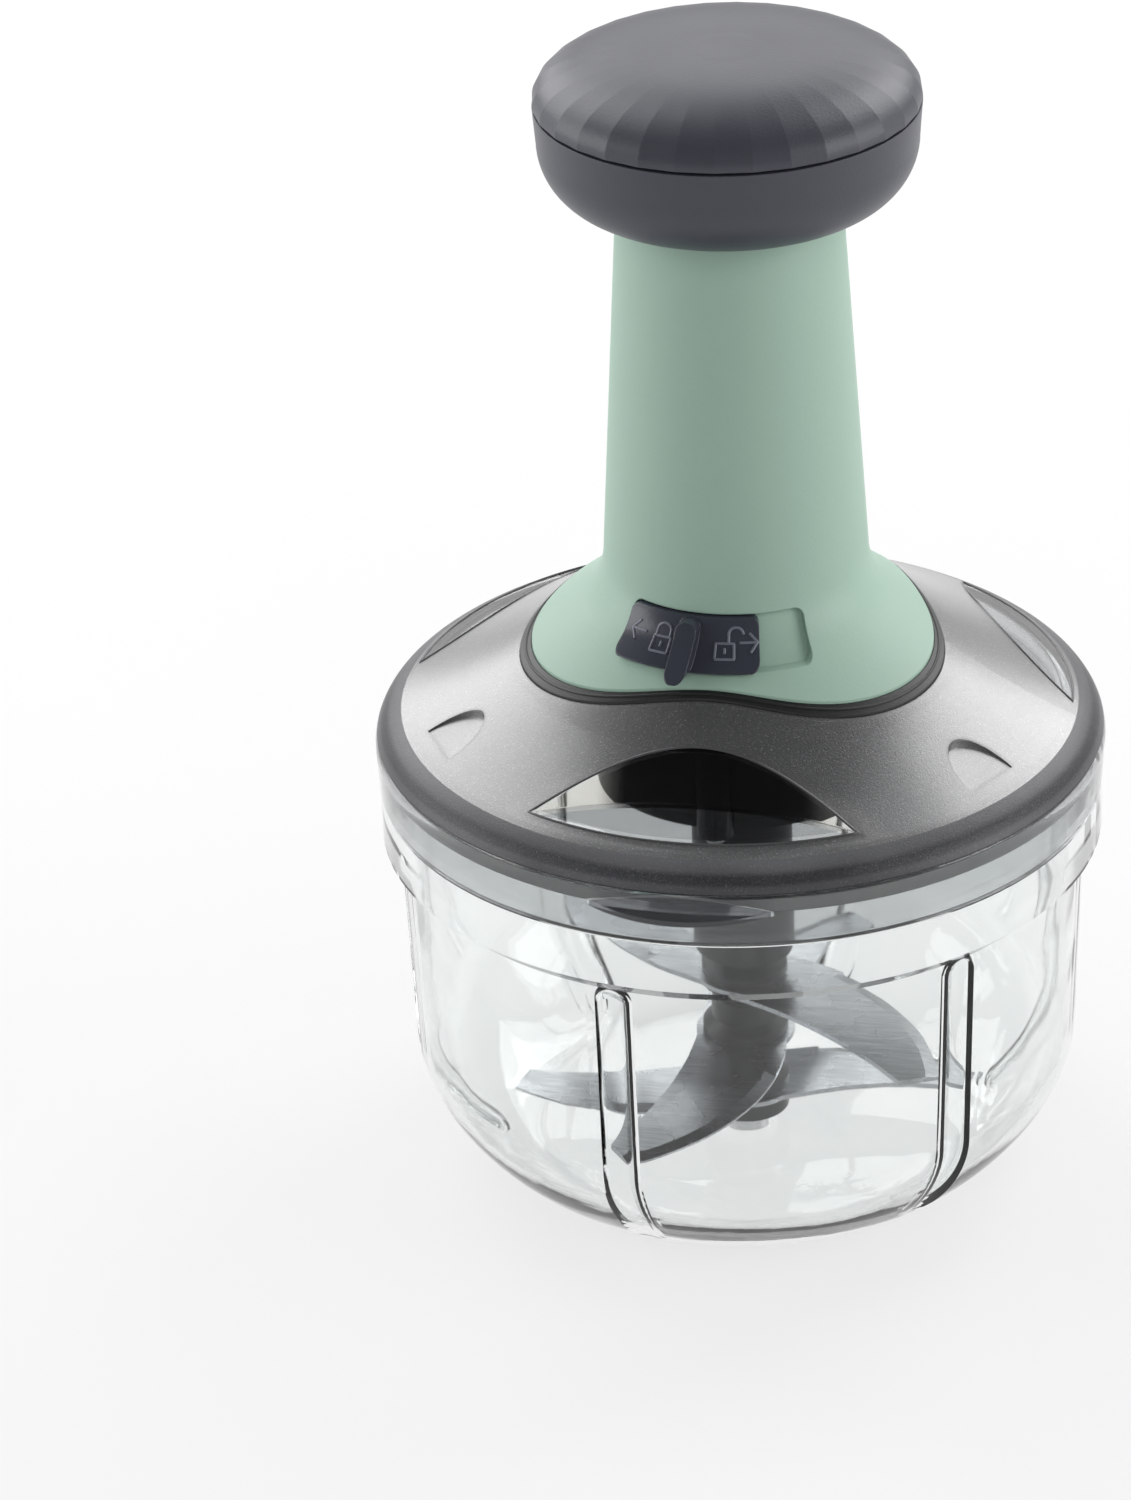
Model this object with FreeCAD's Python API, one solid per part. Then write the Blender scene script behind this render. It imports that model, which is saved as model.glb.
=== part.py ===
import FreeCAD, Part

import math
import os

V = FreeCAD.Vector

# Plunger food chopper, in millimetres. +Z is up, the axis of the bowl is Z, the front is -Y,
# and the origin is in the middle of the underside of the bowl.

# Clearances
running_gap = 0.3        # between pieces that move past each other
seat_gap = 0.1           # between curved pieces of one assembly
shaft_gap = 0.05         # radial, shaft in its bearing
screw_gap = 0.25         # radial, screw shank in a through hole
cut_spare = 1.0          # how far a cutting tool reaches past the face it cuts

# Bowl
bowl_collar_r = 67.7     # the widest line
bowl_collar_step = 3.2   # from the collar in to the shoulder
bowl_rim_step = 2.5      # from the collar in to the rim
bowl_draft = 1.5         # from the shoulder in to the top of the corner
bowl_corner_w = 23.0     # from the top of the corner in to the flat base
bowl_corner_h = 26.0
bowl_corner_pull = 0.39  # how full the corner curve is, as a share of its width and height
bowl_shoulder_z = 66.0
bowl_collar_rise = 3.0
bowl_rim_z = 85.0
bowl_wall = 2.2
bowl_floor = 3.0
flute_count = 6
flute_r = 3.4
flute_stand_off = 1.3    # from the bowl's outer face out to the flute's centre line
flute_backing = 1.8
flute_top_drop = 3.4     # from the shoulder down to the upper end of the flute
flute_end_share = 0.66   # how far round the corner the flute runs
flute_turn = -12.5       # degrees from the front to the first flute

# Pin and blades
pin_r = 2.5
pin_top_z = 24.0
pin_chamfer = 0.75
pin_boss_r = 6.0
pin_boss_h = 3.0
post_r = 6.5
post_flange_r = 8.2
post_flange_h = 1.6
post_shoulder_z = 40.0
post_hex_af = 9.0
post_hex_h = 19.0
post_tip_r = 3.8
blade_t = 1.0
blade_hub_r = 9.5
blade_bevel_w = 2.4
blade_bevel_h = 0.55
blade_middle_share = 0.55    # the blade's curves, as shares of its reach: how far out their middles lie
blade_crown_share = 0.33     # how far the cutting edge swells to the side
blade_tip_share = 0.20       # where its tip lies
blade_hollow_share = 0.02    # and the hollow edge behind it
blade_toe_share = 0.96       # how far out the hollow edge ends
blade_toe_side = 0.06
blade_heel_out = 0.3         # where it starts, as shares of the hub's radius
blade_heel_back = 0.9
blade_lower_z = 10.2
blade_lower_tip_gap = 16.8   # from the bowl's wall to the tip of the lowest blade
blade_tip_gap = 8.8          # and to the tips of the other two
blade_middle_z = 22.0
blade_upper_z = 34.0
blade_step_turn = 65.0   # degrees from one blade to the next

# Lid
skirt_overlap = 6.0      # how far the skirt hangs over the bowl's rim
lid_wide_rise = 2.0      # from the bowl's rim up to the lid's widest line
lid_bulge = 0.5          # from the skirt out to the widest line
lid_wall = 2.2
border_w = 5.1           # width of the rounded border round the dome
border_rise = 3.6        # how far the border rises before it turns inwards
border_lean = 2.6        # how far from the dome's edge it takes up the dome's slope
dome_rise = 0.352        # from the bowl's rim up to the lowest point of the dome's parabola
dome_flat_r = 102.43     # radius of that lowest point
dome_bend_r = 88.97      # radius of curvature there
dome_open_r = 27.0
ring_gap = 0.9           # between the lid's inner ring and the bowl
lid_ring_w = 1.7
lid_ring_drop = 0.8      # how far the inner ring reaches below the bowl's rim
seal_h = 2.2
seat_drop = 2.03         # from the dome at the foot's lobes down to the seat plate
seat_plate_t = 2.5
seat_plate_w = 1.4       # how far the seat plate reaches past the foot's lobes
tab_proud = 3.9          # beyond the lid's widest line
tab_r = 26.6
tab_rise = 2.2           # from the lid's widest line up to the root of the tab
tab_drop = 1.8           # and down to its underside
tab_edge_h = 1.1
tab_lean = 4.1           # how far the tab's face leans in on its way up

# Windows and dimples of the lid
front_window_inset = 2.9     # from the dome's edge in to the window
front_window_depth = 14.8    # from there in to its back wall
front_window_arc = 71.0      # radius of the back wall
side_window_inset = 0.8
side_window_depth = 9.6
side_window_arc = 112.0
window_lip = 0.1         # how far the window's floor lies above the dome at its outer side
window_draft = 0.3       # widening of the window per millimetre of height
window_h = 16.0          # height of the tool that cuts it
window_wall = 2.2
pocket_sink = 0.05       # how far the window's wall ends below the dome
dimple_inset = 13.0      # from the dome's edge in to the apex
dimple_half_w = 6.0
dimple_length = 9.0
dimple_depth = 1.5       # at the apex
dimple_far_depth = 0.4   # at its outer end

# Column
foot_h = 20.0            # from the seat plate up to the end of the fillet at the foot
column_h = 78.0          # from there to the top
column_foot_r = 24.45
column_top_r = 19.9
column_wall = 2.1
foot_fillet = 12.0
foot_proud = 0.9         # how far the foot stands above the dome
foot_lobe_r = 38.9
foot_notch_r = 33.4
foot_sharp = 0.22
foot_spare_r = 45.0      # how far out the foot is drawn before it is trimmed
gasket_lobe_w = 2.4
gasket_notch_w = 1.4
gasket_proud = 0.45
gasket_recess = 1.0
foot_ledge = 3.0
foot_boss_h = 9.0
column_screw_step = 4.0  # from the edge of the dome's opening out to each column screw

# Lock
slot_rise = 8.8          # from the seat plate up to the slot
slot_h = 8.7
slot_end_w = 8.0         # width of the slot's rounded ends
slot_end_angle = 29.2    # degrees from the front to the middle of either end
slot_corner_r = 1.9
slot_depth = 1.3
slider_proud = 0.9
slider_travel = 19.0     # degrees
stem_w = 5.0
stem_rise = 2.8          # from the lower edge of the slot up to the stem
stem_h = 2.4
ridge_w = 4.0
ridge_round = 1.6
ridge_proud = 2.4
ridge_drop = 0.5         # how far the ridge hangs below the slider's face
catch_rise = 10.4        # from the seat plate up to the catch
catch_r = 22.2
catch_w = 2.7
catch_half_angle = 13.0
catch_h = 5.0
catch_tooth_r = 18.8
catch_tooth_h = 2.0
detent_t = 0.4
detent_inset = 1.0       # from the catch's edges in to the leaf's
detent_half_angle = 31.0
detent_leg_angle = 0.8

# Plunger
stroke = 46.0            # from locked down, as it stands, to fully up
tube_r = 16.0
tube_bore_r = 13.0
tube_lift = 1.5          # from the seat plate up to the end of the tube
sleeve_drop = 18.0       # from the top of the column down to the sleeve
sleeve_h = 14.0
stop_r = 18.4
stop_h = 2.0
lock_ring_rise = 9.6     # from the seat plate up to the top of the lock ring
lock_ring_h = 2.4
lock_notch = 10.0        # half angle of the notch that lets the catch's tooth past
key_w = 3.0
key_proud = 1.0
flange_r = 25.0
flange_t = 2.2
flange_rise = 6.6        # from the top of the column up to the flange's face
knob_screw_r = 20.6      # from the axis to each knob screw
knob_screw_turn = 30.0

# Knob
seam_rise = 9.7          # from the top of the column up to the seam
seam_gap = 0.5
collar_h = 18.7          # from the seam down to the underside
collar_side_r = 34.3
collar_seam_r = 34.8
collar_round = 12.0
collar_mouth_r = 21.4
collar_wall = 2.3
collar_shelf = 2.0       # height of the step that carries the lip
lip_h = 1.8
lip_w = 1.2
cap_r = 34.65            # to the middle of each flat
cap_edge_h = 0.5         # height of the cap's upright edge
cap_rise = 9.13          # from there to the top
cap_fullness = 3.63      # exponent of the cap's curve: 2 is an ellipse, more is squarer
cap_wall = 2.2
flat_count = 32
cap_sections = (90, 78, 66, 54, 43, 33, 24, 16, 10, 5, 2)   # degrees along the cap's curve

# Drive
screw_lead = 24.0
strip_w = 9.0
strip_t = 2.6
strip_spare = 4.0        # how far the strip stands out of the nut when the plunger is up
strip_step = 15.0        # degrees of twist between two sections
strip_root = 0.5         # how deep the strip's end is sunk in the shoulder
shoulder_r = 6.5
shoulder_h = 1.6
shoulder_lift = 0.6
journal_r = 4.0
square_w = 5.6
nut_r = 14.0
nut_rise = 28.0          # from the seat plate up to the nut
nut_h = 10.0
nut_gap = 0.3
housing_wall = 2.0
housing_flange_w = 5.0   # from the column screws out to the edge of the housing's flange
housing_flange_t = 2.5
housing_drop = 24.4      # from the seat plate down to the end of the housing
plate_drop = 10.5        # and to the underside of its inner plate
plate_t = 3.0
tower_r = 14.5
tower_bore_r = 10.4
bush_r = 8.0
bush_flange_r = 10.0
bush_flange_h = 1.4
cover_t = 2.5
cover_screw_step = 1.6   # from the housing's side out to each cover screw
boss_r = 3.4
clip_r = 6.0
clip_t = 1.0
clip_groove = 0.8
clip_mouth_w = 4.8
cup_gap = 1.5            # between the cup's side and the housing's
cup_wall = 2.0
cup_floor = 2.6
cup_h = 12.0
neck_r = 9.5
neck_lift = 0.5          # from the post's shoulder up to the end of the neck
socket_spare = 3.0       # from the end of the post's head up to the end of the socket
tooth_count = 18
tooth_depth = 2.2
driver_r = 13.0
driver_t = 5.3
driver_lift = 0.5
pawl_count = 3
pawl_pivot_r = 10.0
pawl_pin_r = 1.4
pawl_w = 2.4
pawl_t = 3.2
pawl_heel_share = 0.9    # how far along the pawl its back edge runs
pawl_heel_side = 0.6     # and how far to the side it ends, as a share of half its width
pawl_clear_angle = 1.5   # degrees between a pawl's tip and the tooth it takes
pocket_floor = 1.2       # of the driver, under the pawls
pocket_margin = 1.4      # of the pocket, round the pawl's root
pocket_mouth = 8.0       # how far round the driver the pocket's mouth reaches
pawl_spring_t = 0.3
pawl_spring_l = 3.0
spring_r = 12.2          # mean radius of the return spring
spring_wire_r = 0.7
spring_turns = 10
spring_steps = 16        # to a turn

# Screws
screw_head_h = 1.6
screw_tip_gap = 0.5      # from the tip to the end of its hole
screw_crown_share = 0.7  # the flat top of a head, as a share of its radius
recess_long_share = 0.55     # the cross recess: half its length
recess_short_share = 0.12    # and half its width
column_screw_shank_r = 1.45
column_screw_head_r = 2.9
column_screw_grip = 6.0
cover_screw_shank_r = 1.2
cover_screw_head_r = 2.3
cover_screw_grip = 7.0
knob_screw_shank_r = 1.2
knob_screw_head_r = 2.2
knob_screw_grip = 2.0
knob_boss_wall = 0.4     # round the knob screws' heads

# Radii that follow from the sizes above
bowl_shoulder_r = bowl_collar_r - bowl_collar_step
bowl_corner_r = bowl_shoulder_r - bowl_draft
bowl_base_r = bowl_corner_r - bowl_corner_w
bowl_rim_r = bowl_collar_r - bowl_rim_step
blade_reach = bowl_corner_r - bowl_wall - blade_tip_gap
blade_lower_reach = bowl_corner_r - bowl_wall - blade_lower_tip_gap
lid_skirt_r = bowl_rim_r + running_gap + seat_gap + lid_wall
lid_wide_r = lid_skirt_r + lid_bulge
lid_ring_r = bowl_rim_r - bowl_wall - ring_gap
dome_edge_r = lid_wide_r - border_w
front_window_r = dome_edge_r - front_window_inset
side_window_r = dome_edge_r - side_window_inset
dimple_apex_r = dome_edge_r - dimple_inset
gasket_spare_r = foot_lobe_r + gasket_lobe_w + foot_ledge
column_screw_r = dome_open_r + column_screw_step
housing_r = dome_open_r
housing_flange_r = column_screw_r + housing_flange_w
cover_screw_r = housing_r + cover_screw_step
cup_r = housing_r - housing_wall - cup_gap

# The dome of the lid is a parabola turned round the axis
dome_base_z = bowl_rim_z + dome_rise


def dome_z(radius):
    return dome_base_z + (dome_flat_r - radius) ** 2 / (2 * dome_bend_r)


def dome_slope(radius):
    return (dome_flat_r - radius) / dome_bend_r


# Heights that follow from the sizes above
lid_skirt_z = bowl_rim_z - skirt_overlap
skirt_shelf_z = lid_skirt_z - running_gap
lid_wide_z = bowl_rim_z + lid_wide_rise
lid_ring_z = bowl_rim_z - lid_ring_drop
dome_edge_z = dome_z(dome_edge_r)
seat_plate_z = dome_z(foot_lobe_r) - seat_drop
column_foot_z = seat_plate_z + foot_h
column_top_z = column_foot_z + column_h
slot_low_z = seat_plate_z + slot_rise
slot_high_z = slot_low_z + slot_h
stem_low_z = slot_low_z + stem_rise
catch_low_z = seat_plate_z + catch_rise
tube_low_z = seat_plate_z + tube_lift
lock_ring_top_z = seat_plate_z + lock_ring_rise
nut_low_z = seat_plate_z + nut_rise
sleeve_low_z = column_top_z - sleeve_drop
stop_top_z = sleeve_low_z - stroke - running_gap
flange_top_z = column_top_z + flange_rise
flange_low_z = flange_top_z - flange_t
seam_z = column_top_z + seam_rise
collar_low_z = seam_z - collar_h
collar_top_z = seam_z - seam_gap / 2
cap_low_z = seam_z + seam_gap / 2
cap_base_z = cap_low_z + cap_edge_h
cap_top_z = cap_base_z + cap_rise
housing_low_z = seat_plate_z - housing_drop
plate_low_z = seat_plate_z - plate_drop
cup_low_z = housing_low_z + running_gap / 2 + seat_gap
driver_low_z = cup_low_z + cup_floor + driver_lift
pocket_low_z = driver_low_z + pocket_floor
clip_low_z = plate_low_z - bush_flange_h - clip_t - 3 * seat_gap
shoulder_low_z = plate_low_z + plate_t + housing_flange_t + 2 * seat_gap + bush_flange_h + shoulder_lift
strip_low_z = shoulder_low_z + shoulder_h
strip_top_z = nut_low_z + nut_h + stroke + strip_spare
neck_low_z = post_shoulder_z + neck_lift

slider_turn = -slider_travel / 2
thirds = (0.0, 120.0, 240.0)
lobes = (60.0, 180.0, 300.0)


def rz(r, z):
    """A point of a profile in the XZ plane."""
    return V(r, 0, z)


def line(a, b):
    return Part.LineSegment(a, b).toShape()


def bezier(points):
    curve = Part.BezierCurve()
    curve.setPoles(points)
    return curve.toShape()


def revolve(edges):
    """The solid that a closed profile in the XZ plane makes round the axis."""
    face = Part.Face(Part.Wire(edges))
    return face.revolve(V(0, 0, 0), V(0, 0, 1), 360)


def lathe(*points):
    """A turned solid with a straight-sided profile of radius and height pairs."""
    corners = [rz(r, z) for r, z in points]
    return revolve([line(a, b) for a, b in zip(corners, corners[1:] + corners[:1])])


def tube(r_out, r_in, z_low, z_high):
    return lathe((r_in, z_low), (r_out, z_low), (r_out, z_high), (r_in, z_high))


def rod(r, z_low, z_high, x=0.0, y=0.0):
    return Part.makeCylinder(r, z_high - z_low, V(x, y, z_low))


def block(x_low, x_high, y_low, y_high, z_low, z_high):
    return Part.makeBox(x_high - x_low, y_high - y_low, z_high - z_low, V(x_low, y_low, z_low))


def turned(shape, angle):
    copy = shape.copy()
    copy.rotate(V(0, 0, 0), V(0, 0, 1), angle)
    return copy


def ring_of(shape, angles):
    """One copy of the shape at each angle about the axis."""
    return [turned(shape, angle) for angle in angles]


def front_at(radius, angle):
    """The point at this radius and angle, counted from the front."""
    turn = math.radians(angle)
    return radius * math.sin(turn), -radius * math.cos(turn)


def at_front(radius, angle):
    x, y = front_at(radius, angle)
    return {"x": x, "y": y}


def union(shapes):
    first, rest = shapes[0], list(shapes[1:])
    if not rest:
        return first
    return first.fuse(rest).removeSplitter()


def hexagon(across_flats, z_low, z_high):
    corner_r = across_flats / math.sqrt(3)
    corners = [V(corner_r * math.cos(math.radians(60 * k)), corner_r * math.sin(math.radians(60 * k)), z_low)
               for k in range(7)]
    return Part.Face(Part.makePolygon(corners)).extrude(V(0, 0, z_high - z_low))


def sector(r_out, r_in, z_low, z_high, centre, half_angle):
    """A piece of a ring about the axis, centred on an angle from the front."""
    face = Part.Face(Part.makePolygon([rz(r_in, z_low), rz(r_out, z_low), rz(r_out, z_high),
                                       rz(r_in, z_high), rz(r_in, z_low)]))
    solid = face.revolve(V(0, 0, 0), V(0, 0, 1), 2 * half_angle)
    return turned(solid, centre - half_angle - 90)


# What follows the dome of the lid

def dome_line(r_from, r_to, lift):
    """The dome's curve between two radii, raised by lift: a parabola, so three poles hold it."""
    start, end = rz(r_from, dome_z(r_from) + lift), rz(r_to, dome_z(r_to) + lift)
    half = (r_to - r_from) / 2
    return bezier([start, start + rz(half, -half * dome_slope(r_from)), end])


def above_dome(lift, r_out, top):
    """Everything above the dome's surface raised by lift, out to a radius and up to a height."""
    r_in = dome_open_r / 3
    start, end = rz(r_in, dome_z(r_in) + lift), rz(r_out, dome_z(r_out) + lift)
    return revolve([dome_line(r_in, r_out, lift), line(end, rz(r_out, top)),
                    line(rz(r_out, top), rz(r_in, top)), line(rz(r_in, top), start)])


def below_dome(lift, r_out, floor):
    """Everything below the dome's surface raised by lift, down to a floor height."""
    r_in = dome_open_r
    start, end = rz(r_in, dome_z(r_in) + lift), rz(r_out, dome_z(r_out) + lift)
    return revolve([dome_line(r_in, r_out, lift), line(end, rz(r_out, floor)),
                    line(rz(r_out, floor), rz(r_in, floor)), line(rz(r_in, floor), start)])


def trefoil(lobe_r, notch_r, z_low, z_high):
    """A prism with three lobes, which point between the windows."""
    mean = (lobe_r + notch_r) / 2 + foot_sharp
    swing = (lobe_r - notch_r) / 2
    points = []
    for k in range(48):
        turn = 2 * math.pi * k / 48
        radius = mean - swing * math.cos(3 * turn) - foot_sharp * math.cos(6 * turn)
        points.append(V(radius * math.sin(turn), -radius * math.cos(turn), z_low))
    outline = Part.BSplineCurve()
    outline.interpolate(Points=points, PeriodicFlag=True)
    return Part.Face(Part.Wire([outline.toShape()])).extrude(V(0, 0, z_high - z_low))


# Bowl

def corner_poles(inset_r, inset_z):
    """The poles of the bowl's corner curve, moved in by the wall and up by the floor."""
    wide = bowl_corner_r - bowl_base_r
    base_r, side_r = bowl_base_r - inset_r / 2, bowl_corner_r - inset_r
    return [rz(base_r, inset_z), rz(base_r + bowl_corner_pull * wide, inset_z),
            rz(side_r, bowl_corner_h * (1 - bowl_corner_pull)), rz(side_r, bowl_corner_h)]


def flute_path():
    """The centre line of one flute, down the wall and round the corner."""
    poles = corner_poles(-flute_stand_off, -flute_stand_off)
    curve = Part.BezierCurve()
    curve.setPoles(poles[::-1])
    curve.segment(0.0, flute_end_share)
    top = rz(bowl_shoulder_r + flute_stand_off, bowl_shoulder_z - flute_top_drop)
    return Part.Wire([line(top, poles[3]), curve.toShape()])


def flute(radius):
    """A round bar along the flute's centre line, with round ends."""
    path = flute_path()
    top, low = path.Vertexes[0].Point, path.Vertexes[-1].Point
    along = path.Edges[0].tangentAt(path.Edges[0].FirstParameter)
    section = Part.Wire([Part.makeCircle(radius, top, along)])
    bar = path.makePipeShell([section], True, False)
    return union([bar, Part.makeSphere(radius, top), Part.makeSphere(radius, low)])


def bowl_inside():
    side_r = bowl_shoulder_r - bowl_wall
    rim_in = bowl_rim_r - bowl_wall
    poles = corner_poles(bowl_wall, bowl_floor)
    above = bowl_rim_z + cut_spare
    corners = [poles[3], rz(side_r, bowl_shoulder_z), rz(rim_in, bowl_rim_z), rz(rim_in, above), rz(0, above),
               rz(0, bowl_floor), poles[0]]
    return revolve([bezier(poles)] + [line(a, b) for a, b in zip(corners, corners[1:])])


def bowl_outside():
    poles = corner_poles(0, 0)
    collar_z = bowl_shoulder_z + bowl_collar_rise
    corners = [poles[3], rz(bowl_shoulder_r, bowl_shoulder_z), rz(bowl_collar_r, collar_z),
               rz(bowl_collar_r, skirt_shelf_z), rz(bowl_rim_r, skirt_shelf_z), rz(bowl_rim_r, bowl_rim_z),
               rz(0, bowl_rim_z), rz(0, 0)]
    edges = [line(rz(0, 0), poles[0]), bezier(poles)]
    edges += [line(a, b) for a, b in zip(corners, corners[1:])]
    return revolve(edges)


def make_bowl():
    angles = [flute_turn - 90 + 360 / flute_count * k for k in range(flute_count)]
    outside = bowl_outside()
    backing = flute(flute_r + flute_backing).common(outside)
    bowl = outside.cut(bowl_inside()).fuse(ring_of(backing, angles))
    bowl = bowl.fuse(rod(pin_boss_r, bowl_floor / 2, bowl_floor + pin_boss_h))
    bowl = bowl.cut(ring_of(flute(flute_r), angles))
    return bowl.cut(rod(pin_r, bowl_floor / 2, pin_top_z)).removeSplitter()


# Pin and blades

def make_pin():
    pin = rod(pin_r, bowl_floor / 2, pin_top_z)
    return pin.makeChamfer(pin_chamfer, [max(pin.Edges, key=lambda edge: edge.CenterOfMass.z)])


def make_post():
    low = bowl_floor + pin_boss_h + running_gap
    foot_top = blade_lower_z
    profile = [(0, low), (post_flange_r, low), (post_flange_r, foot_top), (post_r, foot_top)]
    for height in (blade_lower_z, blade_middle_z, blade_upper_z):
        top = height + blade_t
        if height > blade_lower_z:
            profile += [(post_r, height - 2 * post_flange_h), (post_flange_r, height - post_flange_h),
                        (post_flange_r, height), (post_r, height)]
        profile += [(post_r, top), (post_flange_r, top), (post_flange_r, top + post_flange_h),
                    (post_r, top + 2 * post_flange_h)]
    profile += [(post_r, post_shoulder_z), (0, post_shoulder_z)]
    head = hexagon(post_hex_af, post_shoulder_z, post_shoulder_z + post_hex_h)
    head_tip = Part.makeCone(post_hex_af, post_tip_r, post_hex_h, V(0, 0, post_shoulder_z))
    post = lathe(*profile).fuse(head.common(head_tip)).removeSplitter()
    return post.cut(rod(pin_r + shaft_gap, low - cut_spare, pin_top_z + running_gap))


def cutting_edge(reach):
    """The full outer edge of a blade's arm, from the hub to the tip."""
    hub, tip = V(0, blade_hub_r, 0), V(reach, reach * blade_tip_share, 0)
    crown = V(reach * blade_middle_share, reach * blade_crown_share, 0)
    return Part.Arc(hub, crown, tip).toShape()


def blade_arm(reach):
    """One sickle arm: a full outer edge, which cuts, and a hollow inner one."""
    edge = cutting_edge(reach)
    hub, tip = edge.valueAt(edge.FirstParameter), edge.valueAt(edge.LastParameter)
    toe = V(reach * blade_toe_share, reach * blade_toe_side, 0)
    back = V(reach * blade_middle_share, reach * blade_hollow_share, 0)
    heel = V(blade_hub_r * blade_heel_out, -blade_hub_r * blade_heel_back, 0)
    hollow = Part.Arc(toe, back, heel).toShape()
    outline = Part.Wire(Part.__sortEdges__([edge, line(tip, toe), hollow, line(heel, hub)]))
    return Part.Face(outline).extrude(V(0, 0, blade_t))


def blade_bevel(reach):
    """The wedge that is ground off the arm's cutting edge."""
    circle = cutting_edge(reach).Curve
    centre, radius = circle.Center, circle.Radius
    inner, outer = radius - blade_bevel_w, radius + cut_spare
    fall = blade_bevel_h / blade_bevel_w * (outer - inner)
    ring = Part.Face(Part.makePolygon([rz(inner, blade_t), rz(outer, blade_t), rz(outer, blade_t - fall),
                                       rz(inner, blade_t)]))
    wedge = ring.revolve(V(0, 0, 0), V(0, 0, 1), 360)
    wedge.translate(centre)
    root = blade_hub_r + blade_bevel_w
    return wedge.common(block(root, reach + cut_spare, 0, reach, -cut_spare, blade_t + cut_spare))


def make_blade(z, reach, angle):
    arm = blade_arm(reach).cut(blade_bevel(reach))
    blade = union([arm, turned(arm, 180), rod(blade_hub_r, 0, blade_t)])
    blade = turned(blade.cut(rod(post_r + shaft_gap, -cut_spare, blade_t + cut_spare)), angle)
    blade.translate(V(0, 0, z))
    return blade


# Lid

def window_space(outer_r, depth, arc_r, grow=0.0):
    """The space of a window at the front: its back wall is an arc, and leans back on its way up."""
    low = dome_z(outer_r) + window_lip - grow
    foot_r = arc_r + grow
    height = window_h + grow
    space = Part.makeCone(foot_r, foot_r + window_draft * height, height, V(0, depth - outer_r - arc_r, low))
    return space.common(rod(outer_r + grow / 2, low, low + height))


def add_window(lid, angle, *sizes):
    """A pocket with its own wall is put under the dome, and the window is cut out of it."""
    pocket = window_space(*sizes, grow=window_wall).common(below_dome(-pocket_sink, dome_edge_r, lid_ring_z))
    pocket = pocket.common(rod(lid_ring_r, lid_ring_z, column_foot_z))
    return lid.fuse(turned(pocket, angle)).cut(turned(window_space(*sizes), angle))


def dimple():
    """A thumbnail-shaped hollow that fades out towards the border of the lid."""
    far_r = dimple_apex_r + dimple_length
    outline = Part.Wire([Part.Ellipse(V(0, -far_r, 0), dimple_length, dimple_half_w).toShape()])
    outline.rotate(V(0, -far_r, 0), V(0, 0, 1), 90)
    prism = Part.Face(outline).extrude(V(0, 0, column_foot_z))
    side = dimple_half_w + cut_spare
    inner = V(-side, -dimple_apex_r, dome_z(dimple_apex_r) - dimple_depth)
    outer = V(-side, -far_r, dome_z(far_r) - dimple_far_depth)
    above = V(0, 0, column_foot_z)
    wedge = Part.Face(Part.makePolygon([inner, outer, outer + above, inner + above, inner]))
    return prism.common(wedge.extrude(V(2 * side, 0, 0)))


def tab():
    """The lip that a thumb lifts: a leaning crescent in front of the skirt, with an upright lower edge."""
    centre_y = tab_r - lid_wide_r - tab_proud
    low = lid_wide_z - tab_drop
    edge_z = low + tab_edge_h
    rise = lid_wide_z + tab_rise - edge_z
    face = Part.makeCone(tab_r, tab_r - tab_lean, rise, V(0, centre_y, edge_z))
    body = rod(tab_r, low, edge_z, 0, centre_y).fuse(face)
    return body.cut(rod(lid_wide_r - lid_wall / 2, low - cut_spare, edge_z + rise + cut_spare))


def make_lid():
    skirt_in = lid_skirt_r - lid_wall + seat_gap
    groove_z = bowl_rim_z + running_gap + seal_h + seat_gap
    ring_in = lid_ring_r - lid_ring_w
    under = -lid_wall / math.cos(math.atan(dome_slope(dome_edge_r)))
    border = [rz(lid_wide_r, lid_wide_z), rz(lid_wide_r, lid_wide_z + border_rise),
              rz(dome_edge_r + border_lean, dome_edge_z - border_lean * dome_slope(dome_edge_r)),
              rz(dome_edge_r, dome_edge_z)]
    corners = [rz(ring_in, dome_z(ring_in) + under), rz(ring_in, lid_ring_z), rz(lid_ring_r, lid_ring_z),
               rz(lid_ring_r, groove_z), rz(skirt_in, groove_z), rz(skirt_in, lid_skirt_z),
               rz(lid_skirt_r, lid_skirt_z), border[0]]
    top_in, under_in = rz(dome_open_r, dome_z(dome_open_r)), rz(dome_open_r, dome_z(dome_open_r) + under)
    edges = [line(a, b) for a, b in zip(corners, corners[1:])]
    edges += [bezier(border), dome_line(dome_edge_r, dome_open_r, 0), line(top_in, under_in),
              dome_line(dome_open_r, ring_in, under)]
    lid = revolve(edges)
    plate_low = seat_plate_z - seat_plate_t
    plate_r = foot_lobe_r + seat_plate_w
    lid = lid.cut(trefoil(foot_lobe_r - foot_ledge, foot_notch_r - foot_ledge, seat_plate_z, column_foot_z))
    plate = lathe((dome_open_r, plate_low), (plate_r + seat_plate_t, plate_low), (plate_r, seat_plate_z),
                  (dome_open_r, seat_plate_z))
    lid = lid.fuse(plate)
    lid = add_window(lid, 0, front_window_r, front_window_depth, front_window_arc)
    for angle in thirds[1:]:
        lid = add_window(lid, angle, side_window_r, side_window_depth, side_window_arc)
    recess = trefoil(foot_lobe_r + gasket_lobe_w + seat_gap, foot_notch_r + gasket_notch_w + seat_gap,
                     seat_plate_z - seat_plate_t, column_foot_z)
    lid = lid.cut(recess.common(above_dome(-gasket_recess, gasket_spare_r, column_top_z)))
    lid = lid.cut(ring_of(dimple(), lobes))
    hole = rod(column_screw_shank_r + screw_gap, plate_low - cut_spare, seat_plate_z + cut_spare,
               **at_front(column_screw_r, 0))
    return lid.cut(ring_of(hole, lobes)).fuse(tab()).removeSplitter()


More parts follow.
